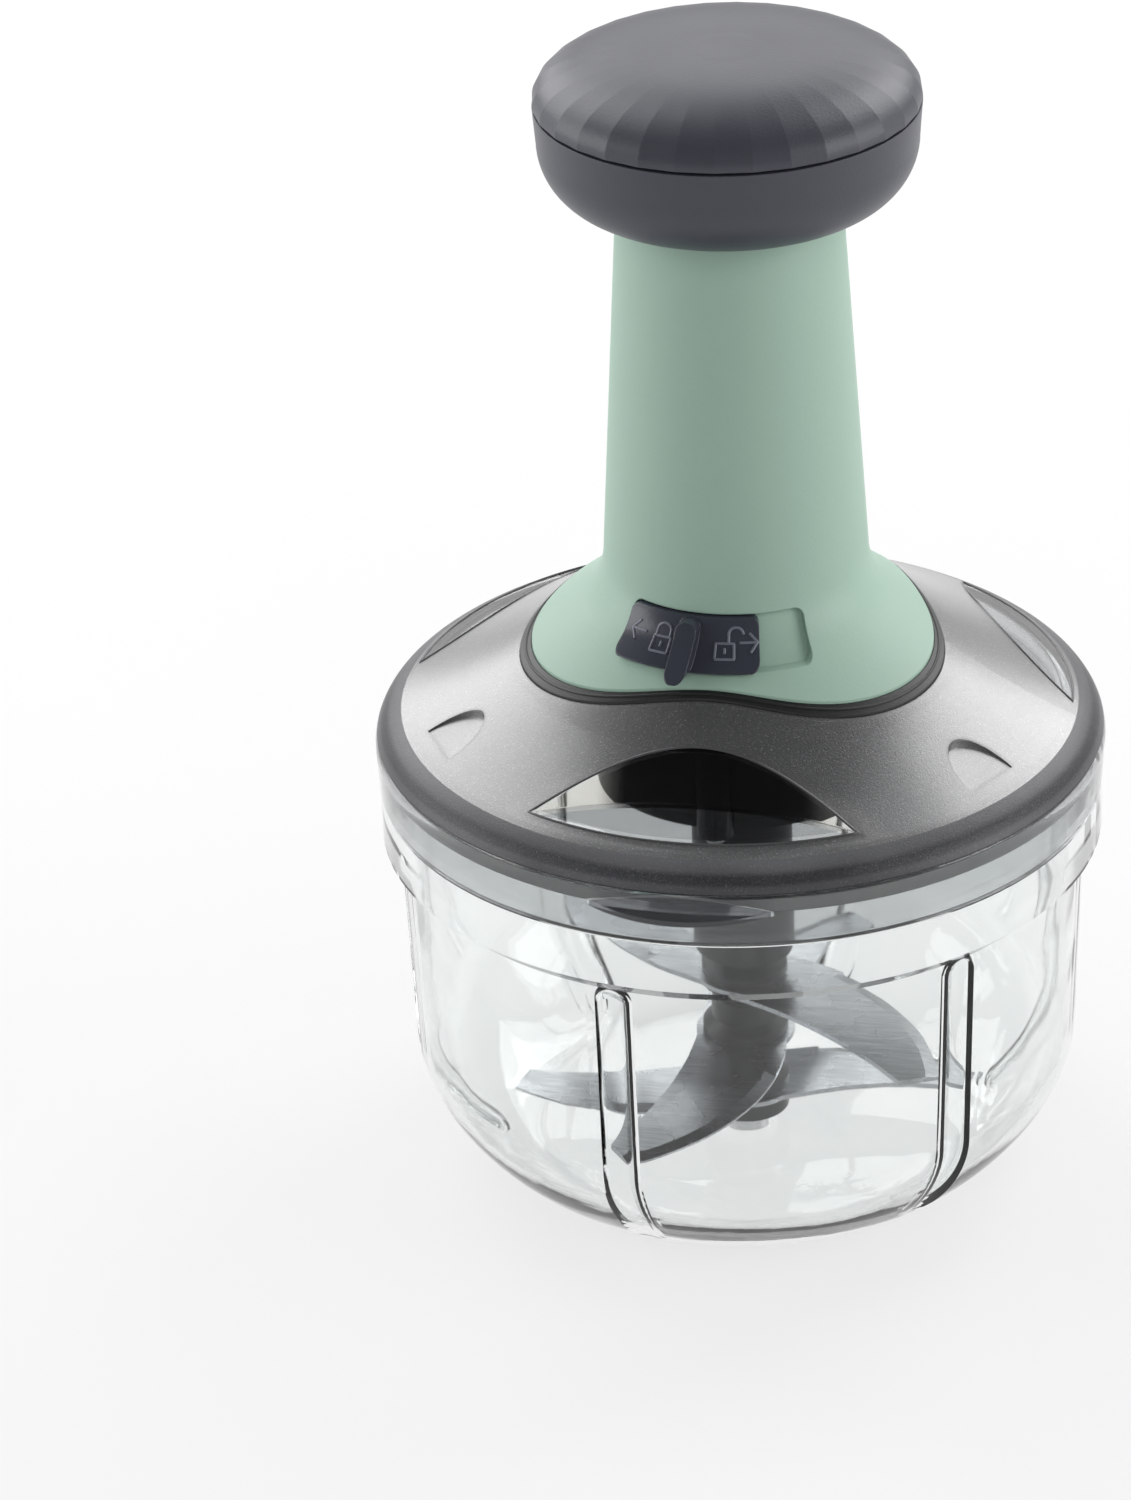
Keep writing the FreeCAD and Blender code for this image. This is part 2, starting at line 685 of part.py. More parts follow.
def make_seal():
    low = bowl_rim_z + running_gap
    outer = lid_skirt_r - lid_wall
    return tube(outer, lid_ring_r + seat_gap, low, low + seal_h)


# Column

def column_r(z):
    """Outer radius of the column above its foot."""
    share = (z - column_foot_z) / (column_top_z - column_foot_z)
    return column_foot_r + share * (column_top_r - column_foot_r)


def foot_joint():
    """Where the fillet of the foot runs into the skirt: its angle, radius and height."""
    radius = column_foot_r
    for _ in range(40):
        angle = math.pi / 2 - math.atan(dome_slope(radius))
        radius = column_foot_r + foot_fillet * (1 - math.cos(angle))
    return angle, radius, dome_z(radius) + foot_proud


def foot_profile(lift, r_out):
    """The outer line of foot and column, moved outwards by lift, from the skirt up to the top."""
    angle, joint_r, joint_z = foot_joint()
    top_z = joint_z + foot_fillet * math.sin(angle)
    centre = rz(column_foot_r + foot_fillet, top_z)
    inner = foot_fillet - lift

    def on_fillet(turn):
        return centre + rz(-inner * math.cos(turn), -inner * math.sin(turn))

    skirt_lift = foot_proud + lift / math.cos(math.atan(dome_slope(joint_r)))
    low = on_fillet(angle)
    skirt = dome_line(r_out, low.x, skirt_lift)
    skirt_end = rz(low.x, dome_z(low.x) + skirt_lift)
    edges = [skirt]
    if (low - skirt_end).Length > 1e-6:
        edges.append(line(skirt_end, low))
    edges.append(Part.Arc(low, on_fillet(angle / 2), on_fillet(0)).toShape())
    edges.append(line(on_fillet(0), rz(column_top_r + lift, column_top_z)))
    return edges


def foot_layer(lift_low, lift_high):
    """A turned layer that follows the column's surface between two lifts."""
    outer, inner = foot_profile(lift_high, foot_spare_r), foot_profile(lift_low, foot_spare_r)
    top = line(outer[-1].Vertexes[-1].Point, inner[-1].Vertexes[-1].Point)
    start = line(outer[0].Vertexes[0].Point, inner[0].Vertexes[0].Point)
    return revolve(Part.__sortEdges__(outer + inner + [top, start]))


def inside_column():
    """All that lies inside the outer face of the foot and the column, down to the seat plate."""
    outer = foot_profile(0, foot_spare_r)
    top, foot = outer[-1].Vertexes[-1].Point, outer[0].Vertexes[0].Point
    corners = [top, rz(0, top.z), rz(0, seat_plate_z), rz(foot.x, seat_plate_z), foot]
    return revolve(Part.__sortEdges__(outer + [line(a, b) for a, b in zip(corners, corners[1:])]))


def rounded_bar(half_w, low, high, corner_r):
    """A bar with round corners that runs from the axis out to the front."""
    bar = block(-half_w, half_w, -foot_spare_r, 0, low, high)
    along = [edge for edge in bar.Edges if abs(edge.tangentAt(edge.FirstParameter).y) > 0.5]
    return bar.makeFillet(corner_r, along)


def lock_window(half_angle, centre, inset=0.0):
    """A curved window with round corners, as far in front of the axis as anything reaches."""
    low, high, half_w = slot_low_z + inset, slot_high_z - inset, slot_end_w / 2 - inset
    end = rounded_bar(half_w, low, high, slot_corner_r - inset)
    middle = sector(foot_spare_r, tube_r, low, high, centre, half_angle)
    return union([middle, turned(end, centre - half_angle), turned(end, centre + half_angle)])


def make_column():
    above = column_top_z + cut_spare
    wall = foot_layer(-column_wall, 0).common(above_dome(seat_gap - gasket_recess, foot_spare_r, above))
    wall = wall.common(trefoil(foot_lobe_r, foot_notch_r, seat_plate_z - seat_plate_t, above))
    boss = rod(boss_r, seat_plate_z, seat_plate_z + foot_boss_h, **at_front(column_screw_r, 0))
    column = wall.fuse(ring_of(boss.common(inside_column()), lobes))
    slot = foot_layer(-slot_depth, foot_proud + ridge_proud).common(lock_window(slot_end_angle, 0))
    stem_way = sector(foot_spare_r, tube_r, stem_low_z - running_gap, stem_low_z + stem_h + running_gap, 0,
                      slider_travel / 2 + math.degrees((stem_w / 2 + 2 * running_gap) / catch_r))
    pilot = rod(column_screw_shank_r, seat_plate_z - cut_spare, seat_plate_z + column_screw_grip,
                **at_front(column_screw_r, 0))
    return column.cut(slot).cut([stem_way] + ring_of(pilot, lobes)).removeSplitter()


def make_gasket():
    low, high = seat_plate_z - seat_plate_t, column_foot_z
    outer = trefoil(foot_lobe_r + gasket_lobe_w, foot_notch_r + gasket_notch_w, low, high)
    inner = trefoil(foot_lobe_r + seat_gap, foot_notch_r + seat_gap, low - cut_spare, high + cut_spare)
    layer = above_dome(seat_gap - gasket_recess, gasket_spare_r, column_top_z)
    layer = layer.cut(above_dome(gasket_proud, gasket_spare_r + cut_spare, column_top_z + cut_spare))
    return outer.cut(inner).common(layer)


# Lock

def make_slider():
    """The face plate, a thumb ridge across its middle, and the stem that goes through the wall."""
    plate = foot_layer(running_gap - slot_depth, slider_proud)
    plate = plate.common(lock_window(slot_end_angle - slider_travel / 2, slider_turn, running_gap))
    low, high = slot_low_z + running_gap - ridge_drop, slot_high_z - 2 * running_gap
    bar = rounded_bar(ridge_w / 2, low, high, ridge_round)
    ridge = foot_layer(running_gap, slider_proud + ridge_proud).common(bar)
    half_w = stem_w / 2
    stem = block(-half_w, half_w, -foot_spare_r, -catch_r - seat_gap, stem_low_z, stem_low_z + stem_h)
    stem = stem.common(inside_column())
    return plate.fuse([turned(ridge, slider_turn), turned(stem, slider_turn)]).removeSplitter()


def make_catch():
    top = catch_low_z + catch_h
    arc = sector(catch_r, catch_r - catch_w, catch_low_z, top, slider_turn, catch_half_angle)
    tooth = sector(catch_r, catch_tooth_r, top, top + catch_tooth_h, slider_turn, catch_half_angle / 2)
    return arc.fuse(tooth).removeSplitter()


def make_detent():
    """A leaf along the inner side of the catch, with a leg at each end that stands against the wall."""
    r_out = catch_r - catch_w - running_gap
    low, high = catch_low_z + detent_inset, catch_low_z + catch_h - detent_inset
    leaf = sector(r_out, r_out - detent_t, low, high, 0, detent_half_angle)
    leg = sector(catch_r + running_gap, r_out - detent_t, low, high, 0, detent_leg_angle)
    legs = ring_of(leg, (-detent_half_angle, detent_half_angle))
    return leaf.fuse(legs).removeSplitter()


# Plunger

def make_sleeve():
    low, high = sleeve_low_z, sleeve_low_z + sleeve_h
    inset = column_wall + 2 * seat_gap
    bore = tube_r + shaft_gap
    sleeve = lathe((bore, low), (column_r(low) - inset, low), (column_r(high) - inset, high), (bore, high))
    slot = block(-key_w / 2 - running_gap, key_w / 2 + running_gap, -tube_r - key_proud - running_gap, 0,
                 low - cut_spare, high + cut_spare)
    return sleeve.cut([slot, turned(slot, 180)])


def make_tube():
    lower_bore = nut_r + seat_gap
    lock_low, stop_low = lock_ring_top_z - lock_ring_h, stop_top_z - stop_h
    nut_top = nut_low_z + nut_h
    body = lathe((lower_bore, tube_low_z), (tube_r, tube_low_z), (tube_r, lock_low), (stop_r, lock_low),
                 (stop_r, lock_ring_top_z), (tube_r, lock_ring_top_z), (tube_r, stop_low),
                 (stop_r, stop_low), (stop_r, stop_top_z), (tube_r, stop_top_z), (tube_r, flange_low_z),
                 (flange_r, flange_low_z), (flange_r, flange_top_z), (tube_bore_r, flange_top_z),
                 (tube_bore_r, nut_top), (lower_bore, nut_top))
    key_low, key_high = stop_top_z - stop_h / 2, sleeve_low_z + sleeve_h + key_w
    key = block(-key_w / 2, key_w / 2, -tube_r - key_proud, -(tube_r + tube_bore_r) / 2, key_low, key_high)
    notch = sector(stop_r + cut_spare, tube_r, lock_low - cut_spare, lock_ring_top_z + cut_spare,
                   slider_travel / 2, lock_notch)
    hole = rod(knob_screw_shank_r + screw_gap, flange_low_z - cut_spare, flange_top_z + cut_spare,
               **at_front(knob_screw_r, knob_screw_turn))
    body = body.fuse([key, turned(key, 180)]).removeSplitter()
    return body.cut(ring_of(hole, thirds) + [notch])


def make_nut():
    space = twisted_strip(strip_w + 2 * nut_gap, strip_t + 2 * nut_gap, nut_low_z - cut_spare,
                          nut_low_z + nut_h + cut_spare)
    return rod(nut_r, nut_low_z, nut_low_z + nut_h).cut(space)


def cap_point(angle, inset):
    """Radius and height of the cap's curve, at an angle down from its top, moved in by a wall."""
    turn = math.radians(angle)
    radius = (cap_r - inset) * math.sin(turn) ** (2 / cap_fullness)
    return radius, cap_base_z + (cap_rise - inset) * math.cos(turn)


def cap_space(inset):
    """The round space under the cap's curve, moved in by a wall."""
    curve = Part.BSplineCurve()
    curve.interpolate([rz(*cap_point(angle, inset)) for angle in cap_sections + (0,)])
    start, top = rz(cap_r - inset, cap_base_z), rz(0, cap_base_z + cap_rise - inset)
    low = flange_top_z
    return revolve([curve.toShape(), line(top, rz(0, low)), line(rz(0, low), rz(start.x, low)),
                    line(rz(start.x, low), start)])


def flat_sided(radius, z):
    """A regular outline with one side for each flat, the radius from its middle."""
    reach = radius / math.cos(math.pi / flat_count)
    turns = [2 * math.pi * (k + 0.5) / flat_count for k in range(flat_count + 1)]
    return Part.makePolygon([V(reach * math.cos(turn), reach * math.sin(turn), z) for turn in turns])


def make_cap():
    """Flats run up the shoulder and fade out as the dome levels off."""
    upper = Part.makeLoft([flat_sided(*cap_point(angle, 0)) for angle in cap_sections], True, False)
    edge = Part.Face(flat_sided(cap_r, cap_low_z)).extrude(V(0, 0, cap_edge_h))
    cap = upper.fuse(edge).cut(cap_space(cap_wall))
    place = at_front(knob_screw_r, knob_screw_turn)
    boss = rod(knob_screw_head_r + knob_boss_wall, flange_top_z, cap_top_z, **place)
    cap = cap.fuse(ring_of(boss.common(cap_space(cap_wall / 2)), thirds)).removeSplitter()
    pilot = rod(knob_screw_shank_r, flange_top_z - cut_spare, flange_top_z + knob_screw_grip, **place)
    return cap.cut(ring_of(pilot, thirds))


def make_collar():
    side_z = collar_low_z + collar_round
    centre = rz(collar_side_r - collar_round, side_z)
    corner = centre + rz(collar_round * math.sin(math.pi / 4), -collar_round * math.cos(math.pi / 4))
    inner_round = collar_round - collar_wall
    inner_corner = centre + rz(inner_round * math.sin(math.pi / 4), -inner_round * math.cos(math.pi / 4))
    inner_r = collar_side_r - collar_wall
    floor_z = collar_low_z + collar_wall
    lip_r = cap_r - cap_wall - 2 * seat_gap
    edges = [Part.Arc(rz(collar_side_r, side_z), corner, rz(centre.x, collar_low_z)).toShape(),
             line(rz(centre.x, collar_low_z), rz(collar_mouth_r, collar_low_z)),
             line(rz(collar_mouth_r, collar_low_z), rz(collar_mouth_r, floor_z)),
             line(rz(collar_mouth_r, floor_z), rz(centre.x, floor_z)),
             Part.Arc(rz(centre.x, floor_z), inner_corner, rz(inner_r, side_z)).toShape()]
    corners = [rz(inner_r, side_z), rz(inner_r, collar_top_z - collar_shelf),
               rz(lip_r - lip_w, collar_top_z - collar_shelf / 2), rz(lip_r - lip_w, collar_top_z + lip_h),
               rz(lip_r, collar_top_z + lip_h), rz(lip_r, collar_top_z), rz(collar_seam_r, collar_top_z),
               rz(collar_side_r, side_z)]
    edges += [line(a, b) for a, b in zip(corners, corners[1:])]
    return revolve(edges)


# Drive

def twisted_strip(width, thickness, z_low, z_high):
    """A flat strip twisted about the axis, drawn through equal turns of its section."""
    rise = screw_lead * strip_step / 360
    first, last = math.floor(z_low / rise), math.ceil(z_high / rise)
    sections = []
    half_w, half_t = width / 2, thickness / 2
    flat = math.sqrt(half_w ** 2 - half_t ** 2)
    for k in range(first, last + 1):
        z = k * rise
        a, b, c, d = V(flat, half_t, z), V(-flat, half_t, z), V(-flat, -half_t, z), V(flat, -half_t, z)
        section = Part.Wire([line(a, b), Part.Arc(b, V(-half_w, 0, z), c).toShape(), line(c, d),
                             Part.Arc(d, V(half_w, 0, z), a).toShape()])
        section.rotate(V(0, 0, 0), V(0, 0, 1), k * strip_step)
        sections.append(section)
    strip = Part.makeLoft(sections, True, False)
    return strip.common(rod(width, z_low, z_high))


def make_screw():
    end_z = driver_low_z
    journal_low = end_z + driver_t
    square = block(-square_w / 2, square_w / 2, -square_w / 2, square_w / 2, end_z, journal_low)
    screw = rod(journal_r, journal_low, shoulder_low_z).fuse([
        square.common(rod(journal_r, end_z, journal_low)), rod(shoulder_r, shoulder_low_z, strip_low_z),
        twisted_strip(strip_w, strip_t, strip_low_z - strip_root, strip_top_z)]).removeSplitter()
    return screw.cut(tube(journal_r + cut_spare, journal_r - clip_groove, clip_low_z - seat_gap,
                          clip_low_z + clip_t + seat_gap))


def make_clip():
    ring = tube(clip_r, journal_r - clip_groove + seat_gap, clip_low_z, clip_low_z + clip_t)
    return ring.cut(block(-clip_mouth_w / 2, clip_mouth_w / 2, 0, clip_r + cut_spare, clip_low_z - cut_spare,
                          clip_low_z + clip_t + cut_spare))


def make_bush():
    flange_low, flange_top = plate_low_z - bush_flange_h - seat_gap, plate_low_z - seat_gap
    bore, top = journal_r + shaft_gap, shoulder_low_z - seat_gap
    return lathe((bore, flange_low), (bush_flange_r, flange_low), (bush_flange_r, flange_top),
                 (bush_r, flange_top), (bush_r, top), (bore, top))


def make_housing():
    flange_top = seat_plate_z - seat_plate_t
    flange_low = flange_top - housing_flange_t
    plate_top = plate_low_z + plate_t
    inner = housing_r - housing_wall
    bore, bore_top = bush_r + seat_gap, shoulder_low_z - seat_gap
    housing = lathe((inner, housing_low_z), (housing_r, housing_low_z), (housing_r, flange_low),
                    (housing_flange_r, flange_low), (housing_flange_r, flange_top), (inner, flange_top),
                    (inner, plate_top), (tower_r, plate_top), (tower_r, seat_plate_z),
                    (tower_bore_r, seat_plate_z), (tower_bore_r, bore_top), (bore, bore_top),
                    (bore, plate_low_z), (inner, plate_low_z))
    boss = rod(boss_r, housing_low_z, flange_low, **at_front(cover_screw_r, 0))
    boss = boss.cut(rod(housing_r - housing_wall / 2, housing_low_z - cut_spare, flange_low + cut_spare))
    housing = housing.fuse(ring_of(boss, thirds)).removeSplitter()
    pilot = rod(cover_screw_shank_r, housing_low_z - cut_spare, housing_low_z + cover_screw_grip,
                **at_front(cover_screw_r, 0))
    hole = rod(column_screw_shank_r + screw_gap, flange_low - cut_spare, flange_top + cut_spare,
               **at_front(column_screw_r, 0))
    return housing.cut(ring_of(pilot, thirds) + ring_of(hole, lobes))


def make_cover():
    low = housing_low_z - cover_t
    cover = tube(housing_r, neck_r + running_gap, low, housing_low_z)
    ear = rod(boss_r, low, housing_low_z, **at_front(cover_screw_r, 0))
    ear = ear.cut(rod(housing_r - housing_wall, low - cut_spare, housing_low_z + cut_spare))
    cover = cover.fuse(ring_of(ear, thirds)).removeSplitter()
    hole = rod(cover_screw_shank_r + screw_gap, low - cut_spare, housing_low_z + cut_spare,
               **at_front(cover_screw_r, 0))
    return cover.cut(ring_of(hole, thirds))


def ratchet_outline(z):
    """Saw teeth on the inside of the cup: a long back and a radial face."""
    outer = cup_r - cup_wall
    inner = outer - tooth_depth
    points = []
    for k in range(tooth_count):
        start, end = 2 * math.pi * k / tooth_count, 2 * math.pi * (k + 1) / tooth_count
        points.append(V(inner * math.cos(start), inner * math.sin(start), z))
        points.append(V(outer * math.cos(end), outer * math.sin(end), z))
    return Part.makePolygon(points + points[:1])


def make_coupling():
    cup = rod(cup_r, cup_low_z, cup_low_z + cup_h)
    hollow = Part.Face(ratchet_outline(cup_low_z + cup_floor)).extrude(V(0, 0, cup_h))
    coupling = cup.cut(hollow).fuse(rod(neck_r, neck_low_z, cup_low_z + cup_floor / 2)).removeSplitter()
    socket_top = post_shoulder_z + post_hex_h + socket_spare
    return coupling.cut(hexagon(post_hex_af + 2 * running_gap, neck_low_z - cut_spare, socket_top))


def pawl_tip():
    """Where the first pawl's tip stands: just clear of the second tooth's face."""
    radius = cup_r - cup_wall - tooth_depth / 2
    turn = math.radians(2 * 360 / tooth_count - pawl_clear_angle)
    return V(radius * math.cos(turn), radius * math.sin(turn), 0)


def on_each_pawl(shape):
    """Copies of a shape drawn at the first pawl, for all of them."""
    return ring_of(shape, [360 / pawl_count * k for k in range(pawl_count)])


def make_driver():
    low = driver_low_z
    hub = rod(driver_r, low, low + driver_t)
    half = square_w / 2 + seat_gap
    under, above = low - cut_spare, low + driver_t + cut_spare
    bore = block(-half, half, -half, half, under, above).common(rod(journal_r + seat_gap, under, above))
    shift = pawl_w / 3
    pocket = rod(pawl_w + pocket_margin, pocket_low_z, above, pawl_pivot_r + shift, shift)
    mouth = block(pawl_pivot_r, driver_r + cut_spare, shift, pocket_mouth, pocket_low_z, above)
    pin = rod(pawl_pin_r, pocket_low_z - pocket_floor / 2, low + driver_t - 2 * seat_gap, pawl_pivot_r, 0)
    driver = hub.cut(bore).cut(on_each_pawl(pocket) + on_each_pawl(mouth))
    return driver.fuse(on_each_pawl(pin)).removeSplitter()


def make_pawls():
    """Arms that lean out of the driver into the teeth, one on each pin."""
    low = pocket_low_z + seat_gap
    lift = V(0, 0, low)
    pivot, tip = V(pawl_pivot_r, 0, 0) + lift, pawl_tip() + lift
    along = tip - pivot
    side = V(-along.y, along.x, 0).normalize() * (pawl_w / 2)
    heel = pivot + along * pawl_heel_share - side * pawl_heel_side
    outline = Part.makePolygon([pivot + side, tip, heel, pivot - side, pivot + side])
    arm = Part.Face(outline).extrude(V(0, 0, pawl_t))
    pawl = arm.fuse(rod(pawl_w, low, low + pawl_t, pawl_pivot_r, 0)).removeSplitter()
    pawl = pawl.cut(rod(pawl_pin_r + shaft_gap, low - cut_spare, low + pawl_t + cut_spare, pawl_pivot_r, 0))
    return Part.makeCompound(on_each_pawl(pawl))


def make_pawl_springs():
    """A small leaf along the inner side of each pawl, standing in the driver's pocket."""
    low = pocket_low_z + seat_gap
    along = pawl_tip() - V(pawl_pivot_r, 0, 0)
    start, side = pawl_w + 4 * seat_gap, pawl_w / 2
    leaf = block(start, start + pawl_spring_l, side, side + pawl_spring_t, low, low + pawl_t)
    leaf.rotate(V(0, 0, 0), V(0, 0, 1), math.degrees(math.atan2(along.y, along.x)))
    leaf.translate(V(pawl_pivot_r, 0, 0))
    return Part.makeCompound(on_each_pawl(leaf))


def make_return_spring():
    """The wire's section, as a hexagon, carried round the helix in equal steps."""
    low = seat_plate_z + spring_wire_r
    height = nut_low_z - seat_plate_z - 2 * spring_wire_r
    sections = []
    for k in range(spring_turns * spring_steps + 1):
        z = low + height * k / (spring_turns * spring_steps)
        corners = [V(spring_r + spring_wire_r * math.cos(math.radians(60 * n)), 0,
                     z + spring_wire_r * math.sin(math.radians(60 * n))) for n in range(7)]
        section = Part.makePolygon(corners)
        section.rotate(V(0, 0, 0), V(0, 0, 1), 360 / spring_steps * k)
        sections.append(section)
    return Part.makeLoft(sections, True, True)


# Screws

def screws(hole_r, head_r, seat_z, tip_z, radius, angles):
    """Pan-head screws that point up, with a cross recess in each head, at one radius from the axis."""
    low_z, crown_z = seat_z - screw_head_h, seat_z - screw_head_h / 2
    x, y = front_at(radius, 0)
    crown = Part.makeCone(head_r * screw_crown_share, head_r, screw_head_h / 2, V(x, y, low_z))
    body = crown.fuse([rod(head_r, crown_z, seat_z, x, y), rod(hole_r - seat_gap / 2, seat_z, tip_z, x, y)])
    long, short = head_r * recess_long_share, head_r * recess_short_share
    cross = [block(x - w, x + w, y - d, y + d, low_z - cut_spare, crown_z)
             for w, d in ((long, short), (short, long))]
    return Part.makeCompound(ring_of(body.cut(cross).removeSplitter(), angles))


def make_column_screws():
    under = seat_plate_z - seat_plate_t - housing_flange_t
    tip_z = seat_plate_z + column_screw_grip - screw_tip_gap
    return screws(column_screw_shank_r, column_screw_head_r, under, tip_z, column_screw_r, lobes)


def make_cover_screws():
    tip_z = housing_low_z + cover_screw_grip - screw_tip_gap
    seat_z = housing_low_z - cover_t
    return screws(cover_screw_shank_r, cover_screw_head_r, seat_z, tip_z, cover_screw_r, thirds)


def make_knob_screws():
    angles = [angle + knob_screw_turn for angle in thirds]
    tip_z = flange_top_z + knob_screw_grip - screw_tip_gap
    return screws(knob_screw_shank_r, knob_screw_head_r, flange_low_z, tip_z, knob_screw_r, angles)


pieces = {
    "bowl": make_bowl,
    "blade_pivot_pin": make_pin,
    "blade_post": make_post,
    "blade_lower": lambda: make_blade(blade_lower_z, blade_lower_reach, 0),
    "blade_middle": lambda: make_blade(blade_middle_z, blade_reach, blade_step_turn),
    "blade_upper": lambda: make_blade(blade_upper_z, blade_reach, 2 * blade_step_turn),
    "lid_shell": make_lid,
    "lid_seal": make_seal,
    "column_shell": make_column,
    "column_gasket": make_gasket,
    "column_screws": make_column_screws,
    "lock_slider": make_slider,
    "lock_catch": make_catch,
    "lock_detent": make_detent,
    "guide_sleeve": make_sleeve,
    "return_spring": make_return_spring,
    "plunger_tube": make_tube,
    "drive_nut": make_nut,
    "knob_cap": make_cap,
    "knob_collar": make_collar,
    "knob_screws": make_knob_screws,
    "drive_screw": make_screw,
    "screw_clip": make_clip,
    "screw_bearing": make_bush,
    "drive_housing": make_housing,
    "drive_cover": make_cover,
    "cover_screws": make_cover_screws,
    "ratchet_driver": make_driver,
    "ratchet_pawls": make_pawls,
    "pawl_springs": make_pawl_springs,
    "output_coupling": make_coupling,
}

os.makedirs("parts", exist_ok=True)
for name, make in pieces.items():
    shape = make()
    print(name, len(shape.Solids), shape.isValid(), round(shape.Volume / 1000, 2), "cm3")
    shape.exportStep(f"parts/{name}.step")
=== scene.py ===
import math

import bmesh
import bpy
from mathutils import Matrix, Vector
from mathutils.bvhtree import BVHTree


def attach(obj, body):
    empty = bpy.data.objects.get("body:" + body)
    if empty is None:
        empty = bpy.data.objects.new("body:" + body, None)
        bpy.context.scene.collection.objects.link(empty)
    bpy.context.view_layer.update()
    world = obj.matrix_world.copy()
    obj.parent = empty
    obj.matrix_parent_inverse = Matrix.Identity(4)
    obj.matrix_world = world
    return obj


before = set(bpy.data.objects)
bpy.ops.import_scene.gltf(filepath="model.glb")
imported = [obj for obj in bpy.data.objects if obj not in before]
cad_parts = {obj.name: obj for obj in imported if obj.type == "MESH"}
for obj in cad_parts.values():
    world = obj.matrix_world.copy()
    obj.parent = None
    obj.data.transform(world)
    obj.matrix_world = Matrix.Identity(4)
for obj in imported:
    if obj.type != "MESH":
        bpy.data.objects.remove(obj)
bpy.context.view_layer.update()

# ---------------------------------------------------------------- bowl
# The bowl is one clear injection moulding with a flat underside, a full round corner and six
# flutes pressed into its wall. It stands on the table, and the lid drops over its rim.

def new_material(name):
    """A material with one Principled shader, and its node tree."""
    material = bpy.data.materials.new(name)
    material.use_nodes = True
    return material, material.node_tree, material.node_tree.nodes["Principled BSDF"]


def add(tree, kind, inputs=None, **settings):
    """A node of the kind, with its settings, and its inputs set to values or linked to sockets."""
    node = tree.nodes.new("ShaderNode" + kind)
    for key, value in settings.items():
        setattr(node, key, value)
    for key, value in (inputs or {}).items():
        if isinstance(value, bpy.types.NodeSocket):
            tree.links.new(value, node.inputs[key])
        else:
            node.inputs[key].default_value = value
    return node


def maths(tree, operation, first, second=0.0, third=0.0):
    return add(tree, "Math", {0: first, 1: second, 2: third}, operation=operation).outputs[0]


def srgb(*levels):
    """A colour given as it looks, from 0 to 255, in the linear values that the shaders want."""
    shares = [level / 255 for level in levels]
    return tuple(v / 12.92 if v <= 0.04 else ((v + 0.055) / 1.055) ** 2.4 for v in shares) + (1.0,)


def object_place(tree):
    return add(tree, "TexCoord").outputs["Object"]


def noise(tree, size, detail=2.0, roughness=0.5):
    """Noise with features about as large as the size, in metres."""
    return add(tree, "TexNoise", {"Vector": object_place(tree), "Scale": 1 / size, "Detail": detail,
                                  "Roughness": roughness}).outputs["Fac"]


def spread(tree, value, low, high):
    """The middle half of a noise value, spread from low to high."""
    return add(tree, "MapRange", {"Value": value, "From Min": 0.25, "From Max": 0.75, "To Min": low,
                                  "To Max": high}).outputs["Result"]


def tint(tree, amount, colour_a, colour_b):
    return add(tree, "Mix", {0: amount, 6: colour_a, 7: colour_b}, data_type="RGBA").outputs[2]


def bump(tree, height, depth, before=None):
    inputs = {"Height": height, "Distance": depth, "Strength": 1.0}
    if before is not None:
        inputs["Normal"] = before
    return add(tree, "Bump", inputs).outputs["Normal"]


def soft_edges(tree, radius):
    """Normals that round the moulding's sharp edges off by the radius."""
    return add(tree, "Bevel", {"Radius": radius}, samples=6).outputs["Normal"]


def dress(material, *nodes):
    for name in nodes:
        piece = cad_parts[name]
        piece.data.materials.clear()
        piece.data.materials.append(material)


def clear_plastic():
    """Polished clear moulding: faint flow waves, and a little haze in the polish."""
    material, tree, shader = new_material("clear_bowl_plastic")
    shader.inputs["Transmission Weight"].default_value = 1.0
    shader.inputs["IOR"].default_value = 1.46
    flow = noise(tree, 0.018, 1.0)
    haze = spread(tree, noise(tree, 0.006, 3.0), 0.015, 0.05)
    tree.links.new(tint(tree, flow, srgb(243, 246, 246), srgb(250, 251, 250)), shader.inputs["Base Color"])
    tree.links.new(haze, shader.inputs["Roughness"])
    tree.links.new(bump(tree, flow, 0.0002), shader.inputs["Normal"])
    return material


dress(clear_plastic(), "bowl")

# ---------------------------------------------------------------- pivot pin and blades
# A ground steel pin stands in the bowl's floor. Three S-shaped stainless blades are stacked on a
# dark moulded post that turns on the pin, and its hexagonal head takes the drive.

def brushed_steel(name, dark, light, line, roughness):
    """Ground steel: fine lines one way, with a slightly cloudy polish."""
    material, tree, shader = new_material(name)
    shader.inputs["Metallic"].default_value = 1.0
    place = add(tree, "Mapping", {"Vector": object_place(tree), "Scale": (0.06, 1.0, 1.0)}).outputs["Vector"]
    lines = add(tree, "TexNoise", {"Vector": place, "Scale": 1 / line, "Detail": 3.0}).outputs["Fac"]
    cloud = noise(tree, 0.009, 2.0)
    tree.links.new(tint(tree, spread(tree, lines, 0.0, 1.0), dark, light), shader.inputs["Base Color"])
    tree.links.new(maths(tree, "MULTIPLY_ADD", cloud, 0.16, roughness - 0.08), shader.inputs["Roughness"])
    tree.links.new(bump(tree, lines, 0.00002), shader.inputs["Normal"])
    return material


blade_steel = brushed_steel("ground_blade_steel", srgb(146, 148, 151), srgb(184, 186, 189), 0.0004, 0.28)
pin_steel = brushed_steel("turned_pin_steel", srgb(168, 169, 170), srgb(200, 201, 202), 0.0002, 0.22)
dress(blade_steel, "blade_lower", "blade_middle", "blade_upper")
dress(pin_steel, "blade_pivot_pin")


